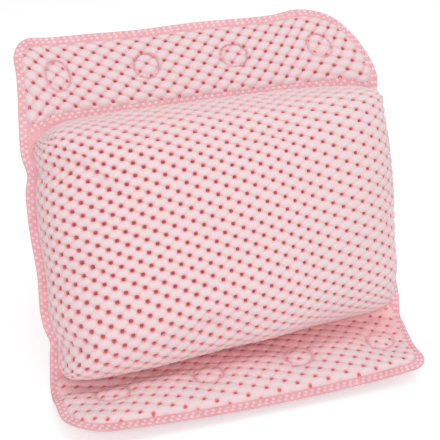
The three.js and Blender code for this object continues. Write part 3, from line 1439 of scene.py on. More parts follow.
@dataclass
class Cushion(Assembly):
    """The padded middle: its mesh cover, foam filling and back sheet.

    Args:
        corners: Radii of its corners.
    """

    corners: Corners = (11 * MM, 15 * MM, 17 * MM, 14 * MM)
    # crowned form and its layers
    crown_fall: float = 6 * MM
    squareness: float = 10.0
    rounding: float = 0.4
    corner_fullness: float = 4.0
    least_fullness: float = 1e-3
    foot: float = 0.5 * MM
    overlap: float = 1.5 * MM
    sheet_thickness: float = 5.6 * MM
    core_gap: float = 0.8 * MM
    core_floor: float = 0.2 * MM
    core_swell: float = 0.8
    # thinner lower right corner
    thin_share: float = 0.36
    thin_width: float = 115 * MM
    thin_length: float = 200 * MM
    # the lower wall stands out over the seam where its lean is negative
    lean_share: float = -0.3
    lean_from: float = 8 * MM
    lean_height: float = 24 * MM
    lean_most: float = 1.3
    lean_left: float = -5.8 * MM
    lean_middle: float = -2.8 * MM
    lean_right: float = 1.2 * MM
    left_turn: Band = (-90 * MM, 0.0)
    right_turn: Band = (10 * MM, 85 * MM)
    # the right wall bulges, and the left one is tucked in near its top
    bulge_right: float = 9.5 * MM
    bulge_share: float = 0.4
    bulge_height: float = 25 * MM
    bulge_most: float = 1.2
    bulge_rise: float = 55 * MM
    corner_tuck: float = 5.0 * MM
    tuck_share: float = -0.5
    tuck_reach: float = 55 * MM
    left_overlap: float = 1.6 * MM
    left_share: float = -0.8
    # painted red glow in the shade near the lower and the left rim
    rim_painted_glow: float = 0.8
    low_painted_glow: Band = (20 * MM, 3 * MM)
    side_painted_glow: Band = (9 * MM, 2 * MM)
    # the nubs fade at the rim and where the cover is gathered
    rim_corner: float = 1.0 * MM
    rim_flat: float = 3 * MM
    room: Band = (0.12, 0.5)
    hole_room: float = 0.3
    # swelling by simulation
    profile_steps: int = 4000
    sim_cell: float = 4.4 * MM
    sim_frames: int = 18
    sim_cap: float = 5 * MM
    low_calm: float = 0.8
    calm_shares: Band = (-0.7, -0.98)
    lattice: MeshLattice = MeshLattice(
        right=(8.4 * MM, -4.6 * MM),
        left=(-8.1 * MM, -6.3 * MM),
        cells=7,
        hole_radius=1.9 * MM,
        right_crease=1.4 * MM,
        left_crease=1.0 * MM,
        knot=0.4 * MM,
        pit=1.7 * MM,
        puff=2.8,
        hole_growth=-0.9,
    )
    back_puff: float = 3.2

    @property
    def half_x(self) -> float:
        """Half the cover's width."""
        return self.plan.half - self.plan.border + self.overlap

    @property
    def half_s(self) -> float:
        """Half the cover's length."""
        return self.plan.span / 2.0 - self.plan.seam_half + self.overlap / 2.0

    @property
    def panel(self) -> Panel:
        """Flat shape between the seams."""
        seam = self.plan.seam_half
        return Panel((-self.half_x, self.half_x, seam, self.plan.span - seam), self.corners)

    def shoulder(self, share: Points) -> Points:
        """Share of the height that is left at a share of the way to the rim."""
        return np.clip(1.0 - np.abs(share) ** self.squareness, 0.0, 1.0) ** self.rounding

    def fullness(self, u: Points, v: Points) -> Points:
        """Share of the height, with corners fuller than the two edges alone would leave them.

        Args:
            u: Plan shares across.
            v: Plan shares along.

        Returns:
            Shares from 0 to 1.
        """
        power = self.corner_fullness
        shoulders = [np.maximum(self.shoulder(share), self.least_fullness) for share in (u, v)]
        across, along = (shoulder**-power for shoulder in shoulders)
        return (across + along - 1.0) ** (-1.0 / power)

    def lean(self, x: Points) -> Points:
        """How far the lower wall stands out over the seam, where negative, or back from it."""
        left = self.lean_left + eased(*self.left_turn, x) * (self.lean_middle - self.lean_left)
        return left + eased(*self.right_turn, x) * (self.lean_right - self.lean_middle)

    def profile(self, half: float) -> tuple[Points, Points]:
        """Middle section from crown to rim.

        Args:
            half: Half size of the plan in this direction.

        Returns:
            Plan shares, and lengths along the section.
        """
        share = np.sin(np.linspace(0.0, math.pi / 2.0, self.profile_steps))
        rise = (self.plan.crown - self.crown_fall * share**2) * self.shoulder(share)
        steps = np.hypot(np.diff(share * half), np.diff(rise))
        return share, np.concatenate([[0.0], np.cumsum(steps)])

    def shares(self, fabric: Points, half: float) -> Points:
        """Plan shares of places measured along the curved cover.

        Args:
            fabric: Places along the cover, from its middle.
            half: Half size of the plan in this direction.

        Returns:
            Shares from -1 to 1.
        """
        share, length = self.profile(half)
        return np.sign(fabric) * np.interp(np.abs(fabric), length, share)

    def loaf(self, u: Points, v: Points, inset: float) -> Points:
        """Points of the crowned form.

        Args:
            u: Plan shares across.
            v: Plan shares along.
            inset: How far it is drawn in from the cover's outside.

        Returns:
            Points in the row frame.
        """
        plan = self.plan
        half_x, half_s = self.half_x - inset, self.half_s - inset
        x, s = u * half_x, v * half_s
        tips = ((-1.0, -1.0), (1.0, -1.0), (-1.0, 1.0), (1.0, 1.0))
        for (side, rise), radius in zip(tips, self.corners):
            x, s = rounded(x, s, (side * half_x, rise * half_s), rise * radius)
        s = s + plan.span / 2.0
        crown = plan.crown - inset - self.crown_fall * (u * u + v * v)
        right = eased(self.half_x - self.thin_width, self.half_x, x)
        low = eased(plan.seam_half + self.thin_length, plan.seam_half, s)
        h = crown * self.fullness(u, v) * (1.0 - self.thin_share * right * low)
        high = np.clip((h - self.lean_from) / self.lean_height, 0.0, self.lean_most)
        lean = self.lean(x) * eased(self.lean_share, -1.0, v) * high
        full = np.clip(h / self.bulge_height, 0.0, self.bulge_most)
        bulge = self.bulge_right * eased(self.bulge_share, 1.0, u) * full
        tuck = self.corner_tuck * eased(self.tuck_share, -1.0, u)
        left = tuck * bell(plan.span, self.tuck_reach, s)
        left = left - self.left_overlap * eased(self.left_share, -1.0, u)
        out = bulge * eased(0.0, self.bulge_rise, s) + left
        x, s = plan.outlined(x, s)
        return plan.on_cushion(x + out, s + lean, h + self.foot)

    def swollen(self, rest: Points) -> Points:
        """Blows the cover up as cloth held at its rim.

        Args:
            rest: Coarse grid of the cover.

        Returns:
            How far each grid point moves.
        """
        rows, columns = rest.shape[:2]
        scene = bpy.context.scene
        mesh = bpy.data.meshes.new("cover_sim")
        mesh.from_pydata(rest.reshape(-1, 3).tolist(), [], grid_quads(rows, columns).tolist())
        thing = put("cover_sim", mesh)
        rim = thing.vertex_groups.new(name=COVER_CLOTH["vertex_group_mass"])
        rim.add(grid_rim(rows, columns).tolist(), 1.0, "REPLACE")
        cloth = thing.modifiers.new("cloth", "CLOTH")
        for key, value in COVER_CLOTH.items():
            setattr(cloth.settings, key, value)
        cloth.settings.effector_weights.gravity = 0.0
        cloth.collision_settings.use_collision = False
        for step in range(1, self.sim_frames + 1):
            scene.frame_set(step)
        posed = thing.evaluated_get(bpy.context.evaluated_depsgraph_get()).data
        flat = np.zeros(rows * columns * 3)
        posed.vertices.foreach_get("co", flat)
        scene.frame_set(1)
        bpy.data.objects.remove(thing)
        moved = flat.reshape(rows, columns, 3) - rest
        length = np.linalg.norm(moved, axis=-1, keepdims=True)
        LOG.info("cover swells by %.1f mm at most before the cap", length.max() / MM)
        return moved * np.tanh(length / self.sim_cap) * self.sim_cap / np.maximum(length, TINY)

    def grid(self) -> CoverGrid:
        """Lays the coarse grid over the cover and lets it swell.

        Returns:
            The grid.
        """
        halves = (self.half_x, self.half_s)
        reaches = [self.profile(half)[1][-1] for half in halves]
        lines = [np.linspace(-reach, reach, int(2.0 * reach / self.sim_cell)) for reach in reaches]
        u, v = (self.shares(at, half) for at, half in zip(np.meshgrid(*lines), halves))
        swell = np.zeros(u.shape + (3,))
        calm = 1.0 - self.low_calm * eased(*self.calm_shares, v)
        swell = self.swollen(self.loaf(u, v, 0.0)) * calm[..., None]
        return CoverGrid(*lines, u, v, swell)

    def build(self) -> None:
        """Makes the cover, the filling and the back sheet."""
        grid = self.grid()
        self.build_cover(grid)
        self.build_core(grid)
        self.build_back()

    def build_cover(self, grid: CoverGrid) -> None:
        """Makes the mesh cover, fine outside and coarse inside.

        Args:
            grid: Coarse grid of the cover.
        """
        reach_x, reach_s = grid.lines_x[-1], grid.lines_s[-1]
        fabric = Panel((-reach_x, reach_x, -reach_s, reach_s), (self.rim_corner,) * 4)
        patch = self.lattice.patch(fabric)
        x, s, blocks = patch.x, patch.s, patch.faces
        base = self.loaf(self.shares(x, self.half_x), self.shares(s, self.half_s), 0.0)
        base = base + grid.swell_at(x, s)
        total = len(base)
        normals = [face_normals(base, block) for block in blocks]
        flat = np.stack([x, s, np.zeros(total)], axis=-1)
        curved_area, flat_area = (
            gathered_at_points([np.linalg.norm(normal, axis=-1) for normal in group], blocks, total)
            for group in (normals, [face_normals(flat, block) for block in blocks])
        )
        room = eased(*self.room, curved_area / flat_area)
        out = unit(gathered_at_points(normals, blocks, total))
        depth = patch.depth * room * eased(0.0, self.rim_flat, patch.margin)
        inner = (self.loaf(grid.u, grid.v, self.sheet_thickness) + grid.swell).reshape(-1, 3)
        faces = [face for block in blocks for face in block.tolist()]
        faces += (grid_quads(*grid.u.shape)[:, ::-1] + total).tolist()
        rim, inner_rim = np.unique(open_sides(blocks, total)), grid_rim(*grid.u.shape)
        grid_x, grid_s = (
            at.reshape(-1)[inner_rim] for at in np.meshgrid(grid.lines_x, grid.lines_s)
        )
        rim_turn = np.arctan2(s[rim] / reach_s, x[rim] / reach_x)
        inner_turn = np.arctan2(grid_s / reach_s, grid_x / reach_x)
        faces += zipped(rim, rim_turn, inner_rim + total, inner_turn)
        # painted red glow for the shade along the cover's lower and left rims
        low_painted_glow = eased(*self.low_painted_glow, s + reach_s)
        side_painted_glow = eased(*self.side_painted_glow, x + reach_x)
        marks = {
            HOLE_MARK: hole_marks(patch.away, room > self.hole_room),
            CREASE_SHADE_MARK: patch.crease,
            PAINTED_GLOW_MARK: self.rim_painted_glow * np.maximum(low_painted_glow, side_painted_glow),
        }
        parts = MeshParts()
        parts.add(np.concatenate([base - out * depth[:, None], inner]), faces, 0, marks)
        cover = parts.piece("cushion_cover", [self.palette.mesh])
        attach(cover, "cushion")
        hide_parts("cushion_front_sheet")

    def build_core(self, grid: CoverGrid) -> None:
        """Makes the foam filling.

        Args:
            grid: Coarse grid of the cover.
        """
        plan = self.plan
        low = self.loaf(grid.u, grid.v, self.sheet_thickness + self.core_gap)
        top = low + grid.swell * self.core_swell
        slope = plan.lower_fold.after
        front = np.array([0.0, -math.sin(slope), math.cos(slope)])
        rise = (low - plan.place(0.0, plan.span / 2.0, self.core_floor)) @ front
        low = low - rise[..., None] * front
        parts = MeshParts()
        parts.sheet(top.reshape(-1, 3), low.reshape(-1, 3), [grid_quads(*grid.u.shape)])
        core = parts.piece("foam_filling", [self.palette.core])
        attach(core, "cushion")
        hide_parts("cushion_foam_core")

    def build_back(self) -> None:
        """Makes the flat sheet behind the filling."""
        panel = self.panel
        shallow = replace(self.lattice, puff=self.back_puff, hole_growth=0.0, **BACK_RELIEF)
        piece = BackSheet(self.plan, self.palette, panel, shallow).build("cushion_back")
        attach(piece, "cushion")
        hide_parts("cushion_back_sheet")


@dataclass
class BackSheet(Assembly):
    """A back sheet of shallow mesh, with a round hole for each cup's neck.

    Args:
        panel: Its flat shape.
        lattice: Of its mesh.
    """

    panel: Panel
    lattice: MeshLattice
    # inner and rim are distances behind the middle of the weld
    inner: float = 0.15 * MM
    thickness: float = 3.0 * MM
    rim: float = 1.0 * MM
    edge: float = 5 * MM
    least: float = 0.6 * MM
    # flat seat round each neck
    seat: float = 7.5 * MM
    seat_fade: float = 3 * MM
    hole_press: float = 0.5

    def build(self, name: str) -> Thing:
        """Makes the sheet.

        Args:
            name: Of the piece.

        Returns:
            The object.
        """
        patch = self.lattice.patch(self.panel)
        x, s = patch.x, patch.s
        solid = Panel(self.panel.box, self.panel.corners)
        edge = rolled(np.clip(-solid.edge(x, s)[0], 0.0, None), self.edge)
        press = np.zeros_like(edge)
        for cup_x, cup_s, _ in self.panel.holes:
            radius = np.hypot(x - cup_x, s - cup_s)
            press = np.maximum(press, 1.0 - eased(self.seat, self.seat + self.seat_fade, radius))
        out = self.rim + (self.thickness + self.inner - self.rim) * edge
        out = out - patch.depth * (1.0 - press) * edge
        back = self.plan.laid(x, s, -np.maximum(out, self.inner + self.least))
        front = self.plan.laid(x, s, np.full_like(out, -self.inner))
        hole = hole_marks(patch.away, press < self.hole_press)
        parts = MeshParts()
        marks = {HOLE_MARK: hole, PRESS_MARK: press, CREASE_SHADE_MARK: patch.crease}
        parts.sheet(front, back, patch.faces, marks)
        piece = parts.piece(name, [self.palette.backing])
        return piece


@dataclass(frozen=True)
class RingShape:
    """How the soft sheet draws a ring weld out of round.

    Args:
        wide: Its width as a share of the ring's diameter.
        tall: The same along the length.
        tilt: Turn of that oval, in degrees.
    """

    wide: float
    tall: float
    tilt: float = 0.0

    def radius(self, across: Points, along: Points) -> Points:
        """Distance from the middle, as it would be in a round ring.

        Args:
            across: Way from the middle across the width.
            along: Way from the middle along the length.

        Returns:
            The distances.
        """
        turn = math.radians(self.tilt)
        out_x = across * math.cos(turn) + along * math.sin(turn)
        out_s = along * math.cos(turn) - across * math.sin(turn)
        return np.hypot(out_x / self.wide, out_s / self.tall)


@dataclass
class Flap(Assembly):
    """A flap's puffed front sheet with its ring welds, and its back sheet.

    Args:
        row: Which flap.
        lattice: Of its front.
        ovals: Values for the shapes of its ring welds, from left to right.
    """

    row: FlapRow
    lattice: MeshLattice
    ovals: tuple[tuple[float, ...], ...]
    # puffed sheet
    sheet_height: float = 4.9 * MM
    puff: float = 2.4 * MM
    puff_squareness: int = 4
    edge: float = 5.5 * MM
    foot: float = 0.8 * MM
    under: float = 0.15 * MM
    least: float = 0.5 * MM
    corner: float = 9 * MM
    side_overlap: float = 4.5 * MM
    free_overlap: float = 1.6 * MM
    seam_gap: float = 2.6 * MM
    fold_gap: float = -2.6 * MM
    fold_flattening: float = 0.38
    fold_flat: Band = (-38 * MM, -18 * MM)
    # painted red glow in the shade of the lower fold, less towards both ends
    painted_glow_rise: Band = (-62 * MM, -20 * MM)
    painted_glow_power: float = 1.5
    painted_glow_least: float = 0.6
    painted_glow_left: Band = (-140 * MM, -75 * MM)
    painted_glow_right: Band = (0.0, 110 * MM)
    painted_glow_right_fall: float = 0.8
    # ring welds; the scallops are shares of a full press
    ring_radius: float = 13 * MM
    ring_scallops: int = 15
    ring_press: float = 0.78
    scallop: float = 0.12
    ring_tilt: float = 0.1
    groove: float = 1.1 * MM
    groove_floor: float = 2.4 * MM
    groove_calm: float = 0.75
    hole_press: float = 0.4
    dip: float = 1.6 * MM
    dip_reach: float = 8 * MM
    # pockets for the heads of the cups, and holes for their necks
    head_radius: float = 8.7 * MM
    head_height: float = 2.5 * MM
    pocket_wall: Band = (1.2 * MM, 3.2 * MM)
    neck_hole: float = 4.1 * MM

    @property
    def body(self) -> str:
        """Name of the body that the flap rides on."""
        return f"{self.row.value}_flap"

    @property
    def box(self) -> Box:
        """Reach of the sheets across and along."""
        plan = self.plan
        rim = plan.border - self.free_overlap
        half = plan.half - plan.border + self.side_overlap
        if self.row is FlapRow.LOWER:
            return -half, half, rim - plan.lower_length, -self.fold_gap
        return -half, half, plan.span + self.seam_gap, plan.span + plan.upper_length - rim

    @property
    def panel(self) -> Panel:
        """Flat shape of the front, whose free corners run beside the outline's."""
        border, overlap = self.plan.border, self.side_overlap
        free = [max(radius - border + overlap, self.corner) for radius in self.plan.corners]
        if self.row is FlapRow.LOWER:
            return Panel(self.box, (free[0], free[1], self.corner, self.corner))
        return Panel(self.box, (self.corner, self.corner, free[2], free[3]))

    def build(self) -> None:
        """Makes both sheets."""
        front = self.build_front()
        holes = tuple((x, s, self.neck_hole) for x, s in self.plan.cups[self.row])
        panel = Panel(self.box, self.panel.corners, holes)
        shallow = replace(self.lattice, **BACK_RELIEF)
        back = BackSheet(self.plan, self.palette, panel, shallow).build(f"{self.body}_back")
        for piece in (front, back):
            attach(piece, self.body)
        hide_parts(f"{self.body}_front_sheet")
        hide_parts(f"{self.body}_back_sheet")

    def painted_glow(self, x: Points, s: Points) -> Points:
        """Share of painted red glow where the lower flap runs in under the cushion's shade.

        Args:
            x: Across the width.
            s: Along the length.

        Returns:
            The shares, none on the upper flap.
        """
        if self.row is FlapRow.UPPER:
            return np.zeros_like(x)
        right = 1.0 - self.painted_glow_right_fall * eased(*self.painted_glow_right, x)
        ends = (1.0 - self.painted_glow_least) * eased(*self.painted_glow_left, x) * right
        return (self.painted_glow_least + ends) * eased(*self.painted_glow_rise, s) ** self.painted_glow_power

    def puffed(self, patch: Patch) -> Points:
        """Height of the front before its rings are pressed in.

        Args:
            patch: The front's mesh.

        Returns:
            Heights over the middle of the weld.
        """
        panel = self.panel
        across = patch.x / panel.box[1]
        along = (patch.s - panel.middle[1]) / (panel.size[1] / 2.0)
        power = self.puff_squareness
        puff = self.puff * (1.0 - across**power) * (1.0 - along**power)
        edge = rolled(patch.margin, self.edge)
        height = self.foot + (self.sheet_height - self.foot + puff) * edge
        if self.row is FlapRow.LOWER:
            height = height * (1.0 - self.fold_flattening * eased(*self.fold_flat, patch.s))
        return height

    def build_front(self) -> Thing:
        """Makes the puffed front sheet.

        Returns:
            The object.
        """
        patch = self.lattice.patch(self.panel)
        x, s = patch.x, patch.s
        height = self.puffed(patch)
        press, pocket = np.zeros_like(x), np.zeros_like(x)
        for (cup_x, cup_s), oval in zip(sorted(self.plan.cups[self.row]), self.ovals):
            across, along = x - cup_x, s - cup_s
            radius = RingShape(*oval).radius(across, along)
            turn = np.arctan2(along, across)
            scallop = self.ring_press + self.scallop * np.cos(self.ring_scallops * turn)
            scallop = scallop + self.ring_tilt * np.sin(turn)
            height = height - self.dip * bell(self.ring_radius, self.dip_reach, radius)
            press = np.maximum(press, bell(self.ring_radius, self.groove, radius) * scallop)
            beyond = np.hypot(across, along) - self.head_radius
            pocket = np.maximum(pocket, 1.0 - eased(*self.pocket_wall, beyond))
        grooved = height * (1.0 - press) + np.minimum(height, self.groove_floor) * press
        height = grooved - patch.depth * (1.0 - self.groove_calm * press)
        under = self.under + self.head_height * pocket
        front = self.plan.laid(x, s, np.maximum(height, under + self.least))
        back = self.plan.laid(x, s, under)
        marks = {
            HOLE_MARK: hole_marks(patch.away, press < self.hole_press),
            PRESS_MARK: press,
            CREASE_SHADE_MARK: patch.crease,
            # painted red glow in the shaded lower fold
            PAINTED_GLOW_MARK: self.painted_glow(x, s),
        }
        parts = MeshParts()
        parts.sheet(front, back, patch.faces, marks)
        piece = parts.piece(f"{self.body}_front", [self.palette.mesh])
        return piece


@dataclass
class WeldStrips(Assembly):
    """The pressed strips round the panels, with two rows of pale beads."""

    # strips, which run in under the sheets and are thinner at the outline; crease is in degrees
    cell: float = 2.0 * MM
    tuck: float = 3.5 * MM
    edge_share: float = 0.45
    edge_reach: float = 1.8 * MM
    crease: float = 40.0
    # beads; each ring has a share of the radius and one of the height
    bead_pitch: float = 5.8 * MM
    bead_radius: float = 1.7 * MM
    bead_height: float = 0.6 * MM
    bead_spread: float = 0.2
    bead_sides: int = 8
    bead_rings: tuple[Band, Band] = ((1.0, -0.3), (0.78, 0.62))
    bead_cover: float = 0.3 * MM
    probe: float = 0.2 * MM
    # rows of beads, inside the outline and past a fold
    outer_rows: Band = (2.3 * MM, 5.6 * MM)
    seam_rows: Band = (-1.6 * MM, 2.0 * MM)
    # place of each row's first bead, as a share of the pitch
    outer_starts: Band = (0.0, 0.5)
    seam_starts: Band = (0.25, 0.75)

    @property
    def outline(self) -> Panel:
        """Flat outline of the whole pillow."""
        plan = self.plan
        return Panel((-plan.half, plan.half, -plan.lower_length, plan.top), plan.corners)

    @property
    def finishes(self) -> list[Material]:
        """Finishes of a strip and of its beads, in the order of their numbers."""
        return [self.palette.weld, self.palette.bead]

    def lines(self, low: float, high: float) -> Points:
        """Grid lines from low to high, about a cell apart."""
        return np.linspace(low, high, max(2, int(round((high - low) / self.cell)) + 1))

    def strip(self, parts: MeshParts, low_s: float, high_s: float, panels: Sequence[Panel]) -> None:
        """Adds the strip between two places along the length, open where the panels are.

        Args:
            parts: Where it goes.
            low_s: First place.
            high_s: Last place.
            panels: The sheets that lie on the strip.
        """
        plan = self.plan
        x, s = np.meshgrid(self.lines(-plan.half, plan.half), self.lines(low_s, high_s))
        distance, out_x, out_s = self.outline.edge(x, s)
        reach = np.maximum(np.abs(out_x), np.abs(out_s))
        near = np.abs(distance) <= EDGE_CELLS * self.cell * reach
        faces = cut_faces((distance > 0.0) & ~near)
        x = np.where(near, x - distance * out_x, x).reshape(-1)
        s = np.where(near, s - distance * out_s, s).reshape(-1)
        for panel in panels:
            middles = [(x[block].mean(axis=1), s[block].mean(axis=1)) for block in faces]
            bare = [panel.edge(*middle)[0] > -self.tuck for middle in middles]
            faces = [block[kept] for block, kept in zip(faces, bare)]
        used, faces = renumbered(faces)
        x, s = x[used], s[used]
        margin = np.clip(-self.outline.edge(x, s)[0], 0.0, None)
        full = np.sqrt(np.clip(margin / self.edge_reach, 0.0, 1.0))
        half = plan.weld_thickness / 2.0 * (self.edge_share + (1.0 - self.edge_share) * full)
        parts.sheet(plan.laid(x, s, half), plan.laid(x, s, -half), faces)

    def bead_faces(self) -> list[list[int]]:
        """Faces of one bead.

        Returns:
            Its side and top all round, then its foot.
        """
        count = self.bead_sides
        faces = []
        for k in range(count):
            n = (k + 1) % count
            faces += [[k, n, n + count, k + count], [k + count, n + count, 2 * count]]
        return faces + [list(range(count - 1, -1, -1))]

    def beads(self, parts: MeshParts, x: Points, s: Points) -> None:
        """Adds beads on both faces of the strip.

        Args:
            parts: Where they go.
            x: Their places across.
            s: Their places along.
        """
        plan = self.plan
        probe, flat = self.probe, np.zeros_like(x)
        half = plan.weld_thickness / 2.0
        centre = plan.laid(x, s, flat)
        across = unit(plan.laid(x + probe, s, flat) - plan.laid(x - probe, s, flat))
        along = plan.laid(x, s + probe, flat) - plan.laid(x, s - probe, flat)
        up = unit(np.cross(across, along))
        along = np.cross(up, across)
        turn = np.arange(self.bead_sides) * 2.0 * math.pi / self.bead_sides
        turn_x, turn_s = np.cos(turn)[:, None], np.sin(turn)[:, None]
        spread = np.random.default_rng(len(x)).uniform(-1.0, 1.0, len(x))
        sizes = 1.0 + self.bead_spread * spread
        for face in Face:
            faces = self.bead_faces()
            if face is Face.BACK:
                faces = [corners[::-1] for corners in faces]
            for i in range(len(x)):
                out = up[i] * face.value
                ring = across[i] * turn_x + along[i] * turn_s
                points = []
                for share, rise in self.bead_rings:
                    rim = ring * share * self.bead_radius * sizes[i]
                    points.append(centre[i] + rim + out * (half + rise * self.bead_height))
                points.append((centre[i] + out * (half + self.bead_height))[None])
                parts.add(np.concatenate(points), faces, StripFinish.BEAD.value)

    def seam_beads(self, fold: float) -> tuple[Points, Points]:
        """Flat places of the beads along a fold.

        Args:
            fold: Place of the fold along the length.

        Returns:
            Their x and s.
        """
        half = self.plan.half - self.plan.border
        count = int(2.0 * half / self.bead_pitch)
        rows = []
        for start, offset in zip(self.seam_starts, self.seam_rows):
            x = (np.arange(count) + start) * 2.0 * half / count - half
            rows.append((x, np.full_like(x, fold + offset)))
        return tuple(np.concatenate(row) for row in zip(*rows))

    def bordered(self, low: float, high: float, panels: Sequence[Panel]) -> MeshParts:
        """Starts a piece with a strip and the beads of the border.

        Args:
            low: First place along the length.
            high: Last place.
            panels: The sheets that lie on the strip.

        Returns:
            The parts of the piece.
        """
        parts = MeshParts()
        self.strip(parts, low, high, panels)
        spots = zip(self.outer_rows, self.outer_starts)
        rows = [self.outline.walk(inset, self.bead_pitch, start) for inset, start in spots]
        x, s = (np.concatenate(row) for row in zip(*rows))
        mine = (s >= low) & (s < high)
        self.beads(parts, x[mine], s[mine])
        return parts

    def build(self, flaps: Sequence[Flap], cushion: Cushion) -> None:
        """Makes the three strips.

        Args:
            flaps: The two flaps.
            cushion: The cushion between them.
        """
        plan = self.plan
        seam = plan.seam_half
        ends = {
            FlapRow.LOWER: (-plan.lower_length, seam, 0.0, ("lower_flap", "cushion")),
            FlapRow.UPPER: (plan.span - seam, plan.top, plan.span, ("cushion", "upper_flap")),
        }
        for flap in flaps:
            low, high, fold, bodies = ends[flap.row]
            parts = self.bordered(low, high, [flap.panel, cushion.panel])
            x, s = self.seam_beads(fold)
            bare = flap.panel.edge(x, s)[0] > -self.bead_cover
            self.beads(parts, x[bare], s[bare])
            piece = parts.piece(f"{flap.row.value}_weld_strip", self.finishes, self.crease)
            start = plan.place(0.0, fold - seam, 0.0)
            end = plan.place(0.0, fold + seam, 0.0)
            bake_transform(piece)
            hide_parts(f"{flap.body}_weld_frame")
        parts = self.bordered(seam, plan.span - seam, [cushion.panel])
        piece = parts.piece("side_weld_strips", self.finishes, self.crease)
        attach(piece, "cushion")
        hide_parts("cushion_weld_frame")


@dataclass
class SuctionCups:
    """The eight turned cups, each on its own swivel.

    Args:
        joints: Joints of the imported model.
        palette: Finishes of the pillow.
        crease: Edges that turn by more than this, in degrees, stay sharp.
    """

    joints: Sequence[dict[str, Any]]
    palette: Palette
    crease: float = 50.0
    # bell and its lip
    rim_radius: float = 20 * MM
    bell_height: float = 10 * MM
    crown: float = 3.5 * MM
    lip: float = 1.6 * MM
    lip_thickness: float = 0.8 * MM
    lip_round: Band = (0.4 * MM, 0.25 * MM)
    lip_drop: float = 0.2 * MM
    lip_inset: float = 0.15 * MM
    shoulder: float = 6.5 * MM
    flare: float = 1.4
    # neck and head
    neck: float = 3.5 * MM
    neck_foot: float = 0.8 * MM
    neck_rise: float = 0.5 * MM
    neck_fillet: float = 0.2 * MM
    hair: float = 0.05 * MM
    head: float = 8 * MM
    head_low: float = 13.6 * MM
    head_high: float = 15.6 * MM
    head_round: float = 0.5 * MM
    steps: int = 14
    sides: int = 48

    def profile(self) -> list[tuple[float, float]]:
        """Turned section, from the middle of the hollow round to the top of the head.

        Returns:
            Radius and height of each point.
        """
        shares = np.linspace(0.0, 1.0, self.steps)
        rim, neck, head, turn = self.rim_radius, self.neck, self.head, self.head_round
        hollow = self.bell_height - self.crown
        section = [((rim - self.lip) * t, hollow * (1.0 - t * t)) for t in shares]
        section += [(rim - self.lip_round[0], 0.0), (rim, self.lip_round[1])]
        section.append((rim, self.lip_thickness - self.lip_drop))
        for t in shares:
            rise = (self.bell_height - self.lip_thickness) * (1.0 - (1.0 - t) ** self.flare)
            radius = rim + (self.shoulder - rim) * t
            section.append((radius - self.lip_inset * (1.0 - t), self.lip_thickness + rise))
        return section + [
            (neck + self.neck_foot, self.bell_height + self.hair),
            (neck, self.bell_height + self.neck_rise),
            (neck, self.head_low - self.hair),
            (neck + self.neck_fillet, self.head_low),
            (head - turn, self.head_low),
            (head, self.head_low + turn),
            (head, self.head_high - turn),
            (head - turn, self.head_high),
            (0.0, self.head_high),
        ]

    def turned(self) -> tuple[Points, list[list[int]]]:
        """One cup on the upright axis.

        Returns:
            Its points and faces.
        """
        section = self.profile()
        rings = section[1:-1]
        turn = np.arange(self.sides) * 2.0 * math.pi / self.sides
        points = [np.array([[0.0, 0.0, section[0][1]]])]
        for radius, height in rings:
            ring = [radius * np.cos(turn), radius * np.sin(turn), np.full(self.sides, height)]
            points.append(np.stack(ring, axis=-1))
        points.append(np.array([[0.0, 0.0, section[-1][1]]]))
        faces = []
        last = 1 + len(rings) * self.sides
        end = last - self.sides
        for k in range(self.sides):
            n = (k + 1) % self.sides
            faces.append([0, 1 + n, 1 + k])
            for r in range(len(rings) - 1):
                a, b = 1 + r * self.sides, 1 + (r + 1) * self.sides
                faces.append([a + k, a + n, b + n, b + k])
            faces.append([end + k, end + n, last])
        return np.concatenate(points), faces

    def build(self) -> None:
        """Makes a cup at every swivel."""
        local, faces = self.turned()
        for joint in self.joints:
            if not joint["name"].endswith("_swivel"):
                continue
            body = joint["child"]
            node = body.replace("_cup_", "_suction_cup_")
            spin = Vector((0.0, 0.0, 1.0)).rotation_difference(Vector(joint["axis"])).to_matrix()
            parts = MeshParts()
            parts.add(local @ np.array(spin).T + np.array(joint["pos_m"]), faces)
            cup = parts.piece(f"{body}_moulding", [self.palette.cup], self.crease)
            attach(cup, body)
            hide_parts(node)


@dataclass(frozen=True)
class Lamp:
    """A soft square lamp that faces the pillow.

    Args:
        name: Of the lamp.
        place: Where it stands.
        size: Of its side.
        power: In watts.
    """

    name: str
    place: tuple[float, float, float]
    size: float
    power: float


